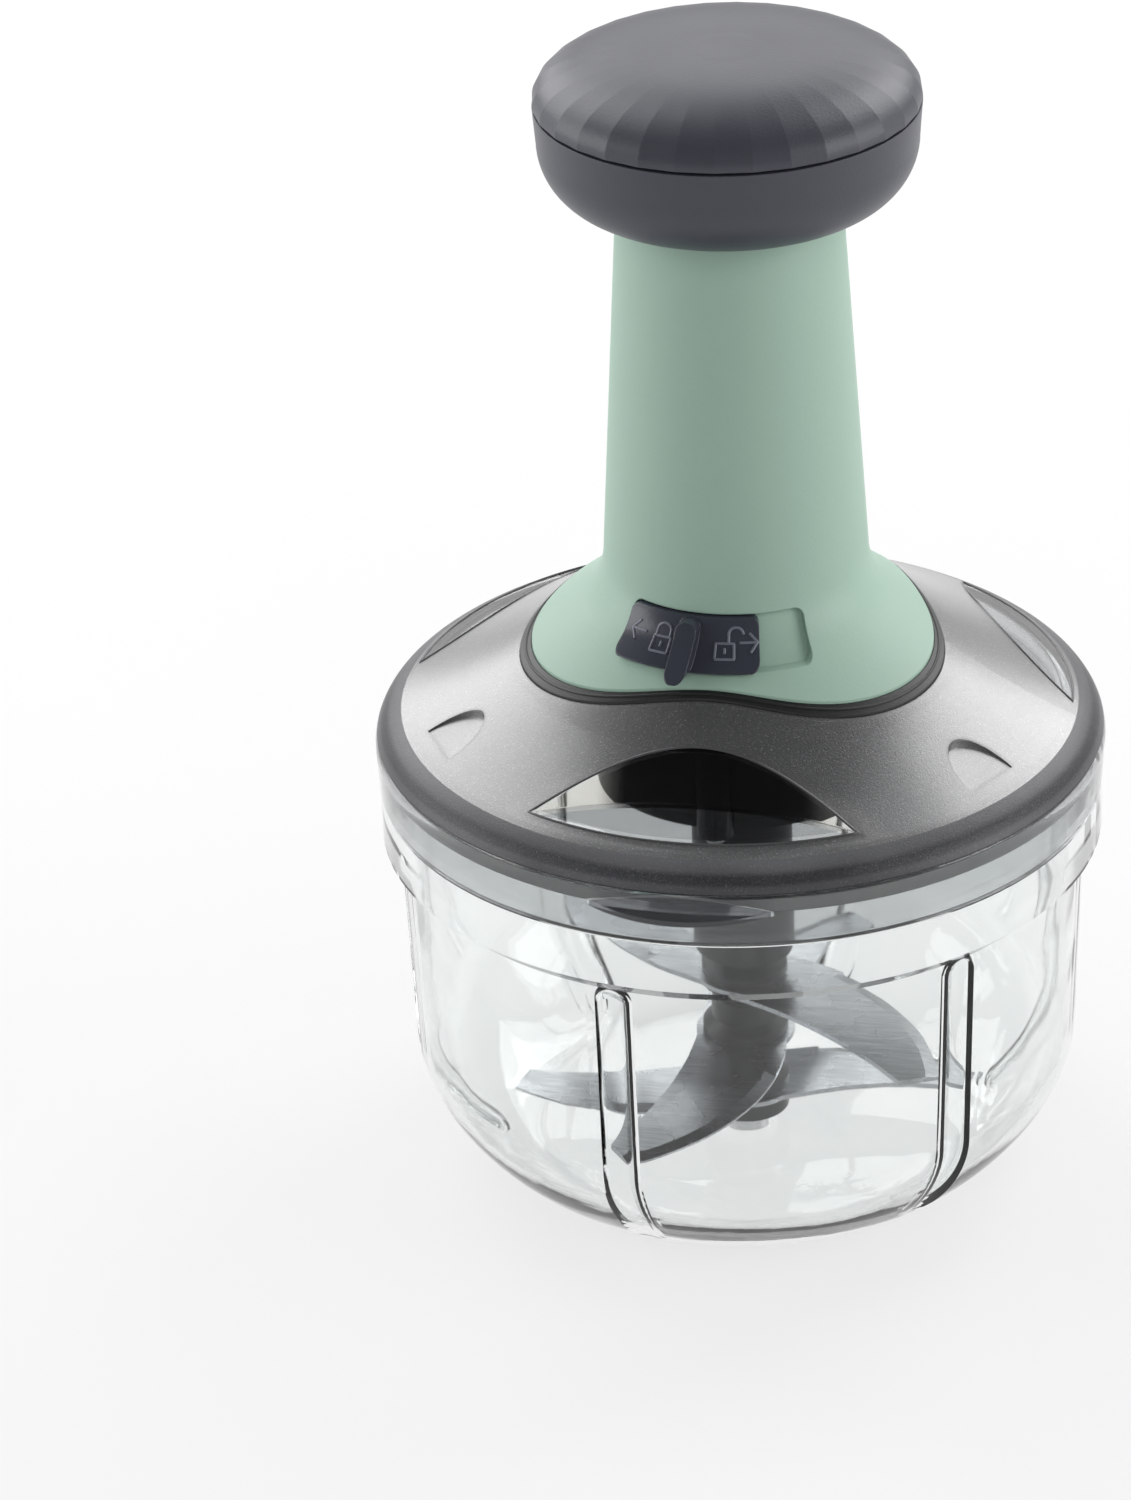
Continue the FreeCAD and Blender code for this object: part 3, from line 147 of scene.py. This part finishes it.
def moulded(name, colour, roughness, grain=0.00045, depth=0.00003, tone=0.06, sheen_spot=0.05, edge=0.0003):
    """Moulded plastic with a fine spark-eroded grain, and slow changes of tone and gloss."""
    material, tree, shader = new_material(name)
    fine = noise(tree, grain, 2.0)
    slow = noise(tree, 0.022, 3.0)
    lighter = tuple(min(1.0, c * (1 + tone)) for c in colour[:3]) + (1.0,)
    darker = tuple(c * (1 - tone) for c in colour[:3]) + (1.0,)
    mixed = maths(tree, "MULTIPLY_ADD", fine, 0.5, maths(tree, "MULTIPLY", slow, 0.5))
    tree.links.new(tint(tree, spread(tree, mixed, 0.0, 1.0), darker, lighter), shader.inputs["Base Color"])
    gloss = maths(tree, "MULTIPLY_ADD", slow, sheen_spot * 2, roughness - sheen_spot)
    tree.links.new(gloss, shader.inputs["Roughness"])
    tree.links.new(bump(tree, fine, depth, soft_edges(tree, edge)), shader.inputs["Normal"])
    return material


dark_plastic = moulded("dark_inner_plastic", srgb(30, 31, 33), 0.38)
dress(dark_plastic, "blade_post")

# ---------------------------------------------------------------- lid
# The lid is moulded in translucent smoke grey. Its top is frosted in the mould and its border satin,
# while the skirt, the tab and the three scooped windows are polished clear.

# The dome is a parabola turned round the axis, and the border rounds off from its edge.
dome_base_z, dome_flat_r, dome_bend_r = 0.085352, 0.10243, 0.08897
dome_edge_r, skirt_start_r, tab_start_r = 0.0632, 0.0650, 0.0685
border_low_z, border_high_z = 0.0893, 0.094
border_fall, border_line = 1.375, 0.1801     # the border lies outside this sloping line
# the last number is how deep below the dome the painted highlight on the windows' upper edges reaches
dome_reach, lip_highlight_depth = 0.00015, 0.0008
dimple_sector, dimple_start_r, dimple_reach = -0.85, 0.047, 0.0018
wall_centre, wall_low, wall_high = 0.1165, 0.0709, 0.0765    # the back wall of the front window
# where the front window's back wall is painted dark as shade in its middle, fading to a pale painted
# highlight at its ends
wall_middle, wall_fade_from, wall_fade_to = 0.003, 0.016, 0.022
edge_round, dimple_round = 0.0004, 0.0015
# painted reflection bands up the border's height: a dark line at its foot, lighter strips, and a dark band
# across its middle
border_reflection_bands = ((0.06, 80), (0.26, 74), (0.38, 40), (0.6, 40), (0.75, 84))


def smoke_lid():
    """Frosted on the dome, satin on the border and polished clear elsewhere, with painted reflection bands
    on the border, a painted highlight on the windows' edges and painted shade on the front window's back
    wall.
    """
    material, tree, shader = new_material("smoke_lid_plastic")
    x, y, z = add(tree, "SeparateXYZ", {"Vector": object_place(tree)}).outputs
    radius = maths(tree, "SQRT", maths(tree, "MULTIPLY_ADD", x, x, maths(tree, "MULTIPLY", y, y)))
    inward = maths(tree, "SUBTRACT", dome_flat_r, radius)
    inward_squared = maths(tree, "MULTIPLY", inward, inward)
    dome = maths(tree, "MULTIPLY_ADD", inward_squared, 0.5 / dome_bend_r, dome_base_z)
    cosine = maths(tree, "DIVIDE", maths(tree, "MULTIPLY", y, -1.0), radius)
    squared = maths(tree, "MULTIPLY", cosine, cosine)
    thrice = maths(tree, "MULTIPLY", cosine, maths(tree, "MULTIPLY_ADD", squared, 4.0, -3.0))
    at_dimple = maths(tree, "LESS_THAN", thrice, dimple_sector)
    reach = maths(tree, "MULTIPLY_ADD", at_dimple, dimple_reach - dome_reach, dome_reach)
    near = maths(tree, "LESS_THAN", maths(tree, "ABSOLUTE", maths(tree, "SUBTRACT", dome, z)), reach)
    within = maths(tree, "LESS_THAN", radius, dome_edge_r)
    on_dome = maths(tree, "MULTIPLY", near, within)
    past = maths(tree, "GREATER_THAN", maths(tree, "MULTIPLY_ADD", radius, border_fall, z), border_line)
    rim = maths(tree, "MULTIPLY", past, maths(tree, "GREATER_THAN", z, border_low_z))
    rim = maths(tree, "MULTIPLY", rim, maths(tree, "LESS_THAN", radius, tab_start_r))
    on_border = maths(tree, "MULTIPLY", rim, maths(tree, "SUBTRACT", 1.0, within))
    satin = maths(tree, "ADD", on_dome, on_border)
    ahead = maths(tree, "ADD", y, wall_centre)
    arc = maths(tree, "SQRT", maths(tree, "MULTIPLY_ADD", x, x, maths(tree, "MULTIPLY", ahead, ahead)))
    aside = maths(tree, "ABSOLUTE", maths(tree, "SUBTRACT", x, wall_middle))
    painted_wall_shade = add(tree, "MapRange", {"Value": aside, "From Min": wall_fade_from, "From Max": wall_fade_to,
                                  "To Min": 1.0, "To Max": 0.0},
               interpolation_type="SMOOTHSTEP").outputs["Result"]
    outside = maths(tree, "SUBTRACT", 1.0, satin)
    on_wall = maths(tree, "MULTIPLY", maths(tree, "GREATER_THAN", arc, wall_low), outside)
    on_wall = maths(tree, "MULTIPLY", on_wall, maths(tree, "LESS_THAN", arc, wall_high))
    # a painted highlight along the windows' upper edges, just under the dome's surface
    below = maths(tree, "SUBTRACT", dome, z)
    lip_highlight = maths(tree, "MULTIPLY", maths(tree, "GREATER_THAN", below, 0.0), within)
    lip_highlight = maths(tree, "MULTIPLY", lip_highlight, maths(tree, "LESS_THAN", below, lip_highlight_depth))
    lip_highlight = maths(tree, "MULTIPLY", lip_highlight, maths(tree, "SUBTRACT", outside, at_dimple))
    lip_highlight = maths(tree, "MAXIMUM", lip_highlight, 0.0)
    on_skirt = maths(tree, "MULTIPLY", maths(tree, "GREATER_THAN", radius, skirt_start_r), outside)
    on_tab = maths(tree, "MULTIPLY", maths(tree, "GREATER_THAN", radius, tab_start_r), outside)
    # the border's tone is painted in bands from its foot upwards, standing in for reflections
    across_border = add(tree, "MapRange", {"Value": z, "From Min": border_low_z,
                                           "From Max": border_high_z}).outputs["Result"]
    shade = add(tree, "ValToRGB", {"Fac": across_border}).outputs["Color"]

    grain = noise(tree, 0.00035, 2.0, 0.7)
    sparkle = maths(tree, "GREATER_THAN", noise(tree, 0.00028, 1.0), 0.66)
    slow = noise(tree, 0.02, 2.0)
    clear_tone = tint(tree, slow, srgb(172, 175, 177), srgb(184, 186, 187))
    # painted shade in the middle of the front window's back wall, and a painted highlight towards its ends
    clear_tone = tint(tree, on_wall, clear_tone, tint(tree, painted_wall_shade, srgb(226, 224, 218), srgb(58, 58, 59)))
    clear_tone = tint(tree, lip_highlight, clear_tone, srgb(226, 227, 228))
    clear_tone = tint(tree, on_skirt, clear_tone, srgb(204, 206, 207))
    clear_tone = tint(tree, on_tab, clear_tone, srgb(104, 106, 110))
    frost_tone = tint(tree, spread(tree, grain, 0.0, 1.0), srgb(70, 71, 72), srgb(94, 95, 95))
    frost_tone = tint(tree, maths(tree, "MULTIPLY", sparkle, 0.4), frost_tone, srgb(190, 191, 192))
    ramp = shade.node.color_ramp
    ramp.elements[0].position, ramp.elements[0].color = 0.04, srgb(22, 22, 23)
    ramp.elements[1].position, ramp.elements[1].color = 1.0, srgb(92, 93, 95)
    for position, level in border_reflection_bands:
        ramp.elements.new(position).color = srgb(level, level, level + 2)
    grainy = maths(tree, "MULTIPLY", spread(tree, grain, 0.0, 1.0), 0.25)
    border_tone = tint(tree, grainy, shade, srgb(110, 111, 116))
    border_tone = tint(tree, maths(tree, "MULTIPLY", sparkle, 0.25), border_tone, srgb(150, 150, 165))
    tone = tint(tree, on_border, tint(tree, on_dome, clear_tone, frost_tone), border_tone)
    tree.links.new(tone, shader.inputs["Base Color"])
    clearness = maths(tree, "MULTIPLY_ADD", on_border, -0.8, maths(tree, "MULTIPLY_ADD", on_dome, -0.6, 1.0))
    clearness = maths(tree, "MULTIPLY_ADD", on_tab, -0.2, clearness)
    clearness = maths(tree, "MULTIPLY_ADD", on_skirt, -0.04, clearness)
    tree.links.new(clearness, shader.inputs["Transmission Weight"])
    polish = maths(tree, "MULTIPLY_ADD", slow, 0.03, 0.02)
    tree.links.new(maths(tree, "MULTIPLY_ADD", satin, maths(tree, "MULTIPLY_ADD", grain, 0.1, 0.26), polish),
                   shader.inputs["Roughness"])
    shader.inputs["IOR"].default_value = 1.46
    dimpled = maths(tree, "MULTIPLY", at_dimple, maths(tree, "GREATER_THAN", radius, dimple_start_r))
    dimpled = maths(tree, "MULTIPLY", dimpled, within)
    rounded = soft_edges(tree, maths(tree, "MULTIPLY_ADD", dimpled, dimple_round - edge_round, edge_round))
    frost = maths(tree, "MULTIPLY", grain, satin)
    tree.links.new(bump(tree, frost, 0.00008, rounded), shader.inputs["Normal"])
    glint = maths(tree, "MULTIPLY_ADD", on_border, -0.2, maths(tree, "MULTIPLY_ADD", on_dome, 0.5, 0.5))
    tree.links.new(glint, shader.inputs["Specular IOR Level"])
    tree.links.new(on_dome, shader.inputs["Coat Weight"])
    shader.inputs["Coat Roughness"].default_value = 0.24
    shader.inputs["Coat IOR"].default_value = 1.62
    return material


dress(smoke_lid(), "lid_shell")

# ---------------------------------------------------------------- window lips
# A fine polished lip runs round each of the lid's three windows. It is moulded on the dome, and its
# darker smoke grey is painted shade that outlines the windows, while its polish catches real highlights.

front_window = (0.0603, 0.0148, 0.071)       # outer radius, depth and the radius of the back wall
side_window = (0.0624, 0.0096, 0.112)
window_lift, window_draft = 0.0001, 0.3
lip_radius = 0.00024


def dome_height(radius):
    return dome_base_z + (dome_flat_r - radius) ** 2 * 0.5 / dome_bend_r


def wire(name, lines, radius, body, material, closed=False):
    """Round wires along the lines of points, joined to one mesh piece that rides on the body."""
    curve = bpy.data.curves.new(name, "CURVE")
    curve.dimensions = "3D"
    curve.bevel_depth, curve.bevel_resolution = radius, 3
    curve.use_fill_caps = not closed
    for points in lines:
        spline = curve.splines.new("POLY")
        spline.points.add(len(points) - 1)
        for target, point in zip(spline.points, points):
            target.co = (*point, 1.0)
        spline.use_cyclic_u = closed
    drawn = bpy.data.objects.new(name + "_line", curve)
    bpy.context.scene.collection.objects.link(drawn)
    bpy.context.view_layer.update()
    mesh = bpy.data.meshes.new_from_object(drawn.evaluated_get(bpy.context.evaluated_depsgraph_get()))
    bpy.data.objects.remove(drawn)
    mesh.name = name
    for face in mesh.polygons:
        face.use_smooth = True
    mesh.materials.clear()
    mesh.materials.append(material)
    piece = bpy.data.objects.new(name, mesh)
    bpy.context.scene.collection.objects.link(piece)
    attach(piece, body)
    return piece


def window_outline(outer, depth, arc):
    """The outline on the dome of a window at the front: its back wall's arc, and its outer edge's."""
    floor_z = dome_height(outer) + window_lift
    edge = outer - window_lift * dome_bend_r / (dome_flat_r - outer)
    centre = depth - outer - arc
    half = math.acos((edge ** 2 - arc ** 2 - centre ** 2) / (2 * centre * arc))
    outline = []
    for k in range(49):
        turn, reach = half * (k / 24 - 1), arc
        for _ in range(8):
            x, y = reach * math.sin(turn), centre + reach * math.cos(turn)
            z = dome_height(math.hypot(x, y))
            reach = arc + window_draft * (z - floor_z)
        outline.append(Vector((x, y, z)))
    span = math.atan2(outline[-1].x, -outline[-1].y)
    for k in range(1, 48):
        turn = span * (1 - k / 24)
        outline.append(Vector((edge * math.sin(turn), -edge * math.cos(turn), floor_z)))
    return outline


def turned(points, angle):
    spin = Matrix.Rotation(math.radians(angle), 3, "Z")
    return [spin @ point for point in points]


lip_shade_plastic = moulded("polished_lip_plastic", srgb(74, 75, 76), 0.14, grain=0.0006, depth=0.00001, tone=0.05)
outlines = [window_outline(*front_window)]
outlines += [turned(window_outline(*side_window), angle) for angle in (120, 240)]
window_lips = wire("window_lips", outlines, lip_radius, "lid", lip_shade_plastic, closed=True)

# ---------------------------------------------------------------- lid seal
# A soft ring of natural silicone lies in the groove between the lid's skirt and its inner ring,
# and seals on the bowl's rim.

def natural_silicone():
    material, tree, shader = new_material("natural_silicone")
    cloud = noise(tree, 0.004, 3.0)
    tree.links.new(tint(tree, cloud, srgb(205, 207, 205), srgb(222, 224, 222)), shader.inputs["Base Color"])
    tree.links.new(maths(tree, "MULTIPLY_ADD", cloud, 0.15, 0.4), shader.inputs["Roughness"])
    shader.inputs["Transmission Weight"].default_value = 0.5
    tree.links.new(bump(tree, noise(tree, 0.0008, 2.0), 0.00003), shader.inputs["Normal"])
    return material


dress(natural_silicone(), "lid_seal")

# ---------------------------------------------------------------- column
# The column is a tall tapering moulding with a three-lobed foot, in matt sage green, screwed to the
# lid from below through bosses inside its foot.

sage = moulded("sage_green_plastic", srgb(151, 178, 163), 0.5, grain=0.0006, depth=0.000025, tone=0.025)
dress(sage, "column_shell")

# ---------------------------------------------------------------- column gasket
# A dark rubber cord lies round the foot of the column in a groove of the lid, with a fine raised
# bead along its outer side.

rubber = moulded("dark_gasket_rubber", srgb(24, 25, 26), 0.42, grain=0.0005, depth=0.00004, tone=0.08)
dress(rubber, "column_gasket")

lobe_r, notch_r, lobe_sharp = 0.0401, 0.0340, 0.0002
bead_radius = 0.00028


def gasket_point(turn):
    mean, swing = (lobe_r + notch_r) / 2 + lobe_sharp, (lobe_r - notch_r) / 2
    radius = mean - swing * math.cos(3 * turn) - lobe_sharp * math.cos(6 * turn)
    return Vector((radius * math.sin(turn), -radius * math.cos(turn), dome_height(radius) + 0.0004))


bead_line = [gasket_point(math.tau * k / 240) for k in range(240)]
bead = wire("gasket_bead", [bead_line], bead_radius, "lid", rubber, closed=True)

# ---------------------------------------------------------------- lock slider
# The thumb slider is a satin blue-grey moulding that runs in a shallow pocket of the foot. Raised
# signs on its face show which way locks and which way opens.

slider_plastic = moulded("blue_grey_slider_plastic", srgb(54, 57, 67), 0.24, grain=0.0004, depth=0.00002,
                         tone=0.05)
dress(slider_plastic, "lock_slider")
dress(dark_plastic, "lock_catch")

sign_line = 0.00028
sign_size = 1.2
slider_turn, slider_middle_z, slider_face_r = math.radians(-9.5), 0.1194, 28.0
face_lean = 0.81         # how much of a step up the sloping face is a step up in height
slider_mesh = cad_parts["lock_slider"].data
slider_tree = BVHTree.FromPolygons([vertex.co.copy() for vertex in slider_mesh.vertices],
                                   [tuple(face.vertices) for face in slider_mesh.polygons])


def on_slider(across, up):
    """The point of the slider's face this far across and up from its middle, in millimetres."""
    turn = slider_turn + across / slider_face_r
    height = slider_middle_z + up * face_lean / 1000
    outward = Vector((math.sin(turn), -math.cos(turn), 0))
    hit = slider_tree.ray_cast(outward * 0.06 + Vector((0, 0, height)), -outward)
    return hit[0] - outward * sign_line * 0.2


def stroke(across, *points):
    """A line through the points, cut in short steps so that it follows the curved face."""
    points = [(x * sign_size, y * sign_size) for x, y in points]
    line = []
    for (x0, y0), (x1, y1) in zip(points, points[1:]):
        steps = max(2, round(math.hypot(x1 - x0, y1 - y0) / 0.3))
        shares = [k / steps for k in range(steps)]
        line += [on_slider(across + x0 + (x1 - x0) * share, y0 + (y1 - y0) * share) for share in shares]
    return line + [on_slider(across + points[-1][0], points[-1][1])]


def bow(x, y, radius, start, end, steps=12):
    """Points of an arc between two angles."""
    turns = [math.radians(start + (end - start) * k / steps) for k in range(steps + 1)]
    return [(x + radius * math.cos(turn), y + radius * math.sin(turn)) for turn in turns]


def arrow(across, way):
    shaft = stroke(across, (-way * 1.5, -0.2), (way * 1.1, -0.2))
    return [shaft, stroke(across, (way * 0.1, 1.3), (way * 1.3, -0.2), (way * 0.1, -1.7))]


def padlock(across, lift, shift):
    """A padlock's outline: its body, a keyhole line and a shackle, which is lifted and shifted when open."""
    body = stroke(across, (-1.4, -2.5), (1.4, -2.5), (1.4, -0.3), (-1.4, -0.3), (-1.4, -2.5))
    key = stroke(across, (0, -1.0), (0, -1.8))
    bend = bow(shift, 0.75 + lift, 1.15, 180, 0)
    feet = [(-1.15 + shift, -0.3)] + bend + [(1.15 + shift, -0.3 + (1.0 + lift if lift else 0))]
    return [body, key, stroke(across, *feet)]


# the signs are moulded in the slider's own blue-grey; their lighter tone is a painted highlight on the
# relief
sign_highlight_plastic = moulded("raised_sign_plastic", srgb(104, 107, 119), 0.24, grain=0.0004, depth=0.00001,
                       tone=0.05)
lock_sign = wire("lock_sign", arrow(-10.2, -1) + padlock(-4.9, 0.0, 0.0), sign_line, "lock", sign_highlight_plastic)
open_sign = wire("open_sign", padlock(7.0, 0.4, 1.75) + arrow(11.5, 1), sign_line, "lock", sign_highlight_plastic)

# ---------------------------------------------------------------- springs
# The detent that holds the slider at either end, the pawl springs, the clip and the return spring
# are drawn or punched from spring steel, a little darker than the pin.

spring_steel = brushed_steel("drawn_spring_steel", srgb(140, 141, 143), srgb(176, 177, 178), 0.0003, 0.3)
dress(spring_steel, "lock_detent", "return_spring", "pawl_springs", "screw_clip")

# ---------------------------------------------------------------- plunger
# The plunger tube is a dark moulding that slides in a white acetal sleeve. The drive nut, also of
# acetal, is held in its bore.

tube_plastic = moulded("dark_tube_plastic", srgb(56, 58, 65), 0.34, grain=0.0004, depth=0.00002)
acetal = moulded("white_acetal", srgb(226, 226, 220), 0.32, grain=0.0005, depth=0.00001, tone=0.03)
dress(tube_plastic, "plunger_tube")
dress(acetal, "guide_sleeve", "drive_nut", "screw_bearing", "ratchet_driver")

# ---------------------------------------------------------------- knob
# The knob is two shells snapped together, in dark grey plastic with a soft satin finish. The cap's
# shoulder is cut in flats that fade into the smooth dome.

knob_plastic = moulded("slate_knob_plastic", srgb(61, 63, 72), 0.4, grain=0.0005, depth=0.00003, tone=0.04)
dress(knob_plastic, "knob_cap", "knob_collar")

# ---------------------------------------------------------------- drive
# The twisted drive strip, the housing with its cover, the coupling and the pawls are hidden under
# the lid and show only as dark shapes through it.

strip_steel = brushed_steel("twisted_strip_steel", srgb(150, 151, 153), srgb(190, 191, 193), 0.0005, 0.3)
dress(strip_steel, "drive_screw", "ratchet_pawls")
dress(dark_plastic, "drive_housing", "drive_cover", "output_coupling")

# ---------------------------------------------------------------- screws
# The screws are zinc-plated pan heads with a cross recess. They hold the column and the housing's
# cover from below, and the knob on the flange of the plunger tube.

zinc = brushed_steel("zinc_plate", srgb(176, 178, 180), srgb(206, 208, 212), 0.0002, 0.3)
dress(zinc, "column_screws", "cover_screws", "knob_screws")

# ---------------------------------------------------------------- floor, light and camera
# A plain pale floor in soft studio light: three softboxes stand behind the chopper, a tall lamp at
# either side lights its edges, and a weak fill stands in front.

near_paleness, near_floor_r, far_floor_r = 0.72, 0.4, 1.8


def pale_floor():
    """Pale grey that takes the soft shadow near the chopper and turns plain white far from it."""
    material, tree, shader = new_material("pale_floor")
    shader.inputs["Roughness"].default_value = 0.8
    grey = tint(tree, noise(tree, 0.4, 2.0), srgb(214, 214, 214), srgb(222, 222, 222))
    tree.links.new(grey, shader.inputs["Base Color"])
    rays = add(tree, "LightPath")
    seen = maths(tree, "MAXIMUM", rays.outputs["Is Camera Ray"], rays.outputs["Is Transmission Ray"])
    seen = maths(tree, "MAXIMUM", seen, rays.outputs["Is Glossy Ray"])
    away = add(tree, "VectorMath", {"Vector": object_place(tree)}, operation="LENGTH").outputs["Value"]
    paleness = add(tree, "MapRange", {"Value": away, "From Min": near_floor_r, "From Max": far_floor_r,
                                      "To Min": near_paleness, "To Max": 1.0},
                   interpolation_type="SMOOTHSTEP").outputs["Result"]
    glow = add(tree, "Emission", {"Color": (1.0, 1.0, 1.0, 1.0), "Strength": 1.0}).outputs[0]
    share = maths(tree, "MULTIPLY", seen, paleness)
    mix = add(tree, "MixShader", {0: share, 1: shader.outputs[0], 2: glow})
    tree.links.new(mix.outputs[0], tree.nodes["Material Output"].inputs["Surface"])
    return material


floor_mesh = bpy.data.meshes.new("floor")
floor_form = bmesh.new()
bmesh.ops.create_circle(floor_form, cap_ends=True, segments=96, radius=4.0)
floor_form.to_mesh(floor_mesh)
floor_form.free()
floor = bpy.data.objects.new("floor", floor_mesh)
bpy.context.scene.collection.objects.link(floor)
floor.data.materials.append(pale_floor())


def lamp(name, place, target, width, height, power):
    light = bpy.data.lights.new(name, "AREA")
    light.shape = "RECTANGLE"
    light.size, light.size_y = width, height
    light.energy = power
    holder = bpy.data.objects.new(name, light)
    bpy.context.scene.collection.objects.link(holder)
    holder.location = place
    holder.rotation_euler = (Vector(target) - Vector(place)).to_track_quat("-Z", "Y").to_euler()
    return holder


middle = (0.0, 0.0, 0.11)
lamp("back_softbox", (0.0, 1.35, 0.85), middle, 1.2, 0.5, 4.0)
lamp("left_softbox", (-0.88, 0.8, 0.93), middle, 0.9, 1.3, 12.4)
lamp("right_softbox", (0.63, 0.92, 0.97), middle, 0.7, 0.95, 9.5)
lamp("left_edge_light", (-1.3, -0.15, 0.5), middle, 1.0, 0.9, 9.3)
lamp("right_edge_light", (1.3, -0.05, 0.5), middle, 1.0, 0.9, 9.3)
fill = lamp("front_fill", (0.3, -1.3, 1.0), middle, 1.2, 1.0, 6.0)
fill.visible_glossy = False

# The room is bright behind and at both sides, and dark overhead and on the camera's side.
world = bpy.data.worlds.new("studio")
world.use_nodes = True
bpy.context.scene.world = world
world_tree = world.node_tree
direction = add(world_tree, "SeparateXYZ", {"Vector": add(world_tree, "TexCoord").outputs["Generated"]})
overhead = add(world_tree, "MapRange", {"Value": direction.outputs["Z"], "From Min": 0.35, "From Max": 0.85,
                                        "To Min": 0.6, "To Max": 0.1}, interpolation_type="SMOOTHSTEP")
behind = add(world_tree, "MapRange", {"Value": direction.outputs["Y"], "From Min": -0.9, "From Max": -0.3,
                                      "To Min": 0.15, "To Max": 1.0}, interpolation_type="SMOOTHSTEP")
room = maths(world_tree, "MULTIPLY", overhead.outputs["Result"], behind.outputs["Result"])
seen = add(world_tree, "LightPath").outputs["Is Camera Ray"]
background = world_tree.nodes["Background"]
world_tree.links.new(maths(world_tree, "MAXIMUM", room, seen), background.inputs["Strength"])
background.inputs["Color"].default_value = (1.0, 1.0, 1.0, 1.0)

# The camera looks down on the front of the chopper from a little to its right.
camera_back, camera_up = 1.01665, 0.62651
camera_round, camera_yaw, camera_pitch, camera_roll = math.radians(9.83), -0.03226, 0.49055, -0.0356
focal_pixels, frame_pixels, sensor = 6139.6, 1500, 36.0

camera_data = bpy.data.cameras.new("camera")
camera_data.sensor_width = sensor
camera_data.lens = focal_pixels / frame_pixels * sensor
camera = bpy.data.objects.new("camera", camera_data)
bpy.context.scene.collection.objects.link(camera)
level_reach = math.cos(camera_pitch)
forward = Vector((math.sin(camera_yaw) * level_reach, math.cos(camera_yaw) * level_reach,
                  -math.sin(camera_pitch)))
level_right = forward.cross(Vector((0, 0, 1))).normalized()
level_up = level_right.cross(forward)
right = math.cos(camera_roll) * level_right + math.sin(camera_roll) * level_up
up = math.cos(camera_roll) * level_up - math.sin(camera_roll) * level_right
facing = Matrix((right, up, -forward)).transposed().to_4x4()
standing = Matrix.Translation((0, -camera_back, camera_up))
camera.matrix_world = Matrix.Rotation(camera_round, 4, "Z") @ standing @ facing
bpy.context.scene.camera = camera
bpy.context.scene.view_settings.view_transform = "Standard"
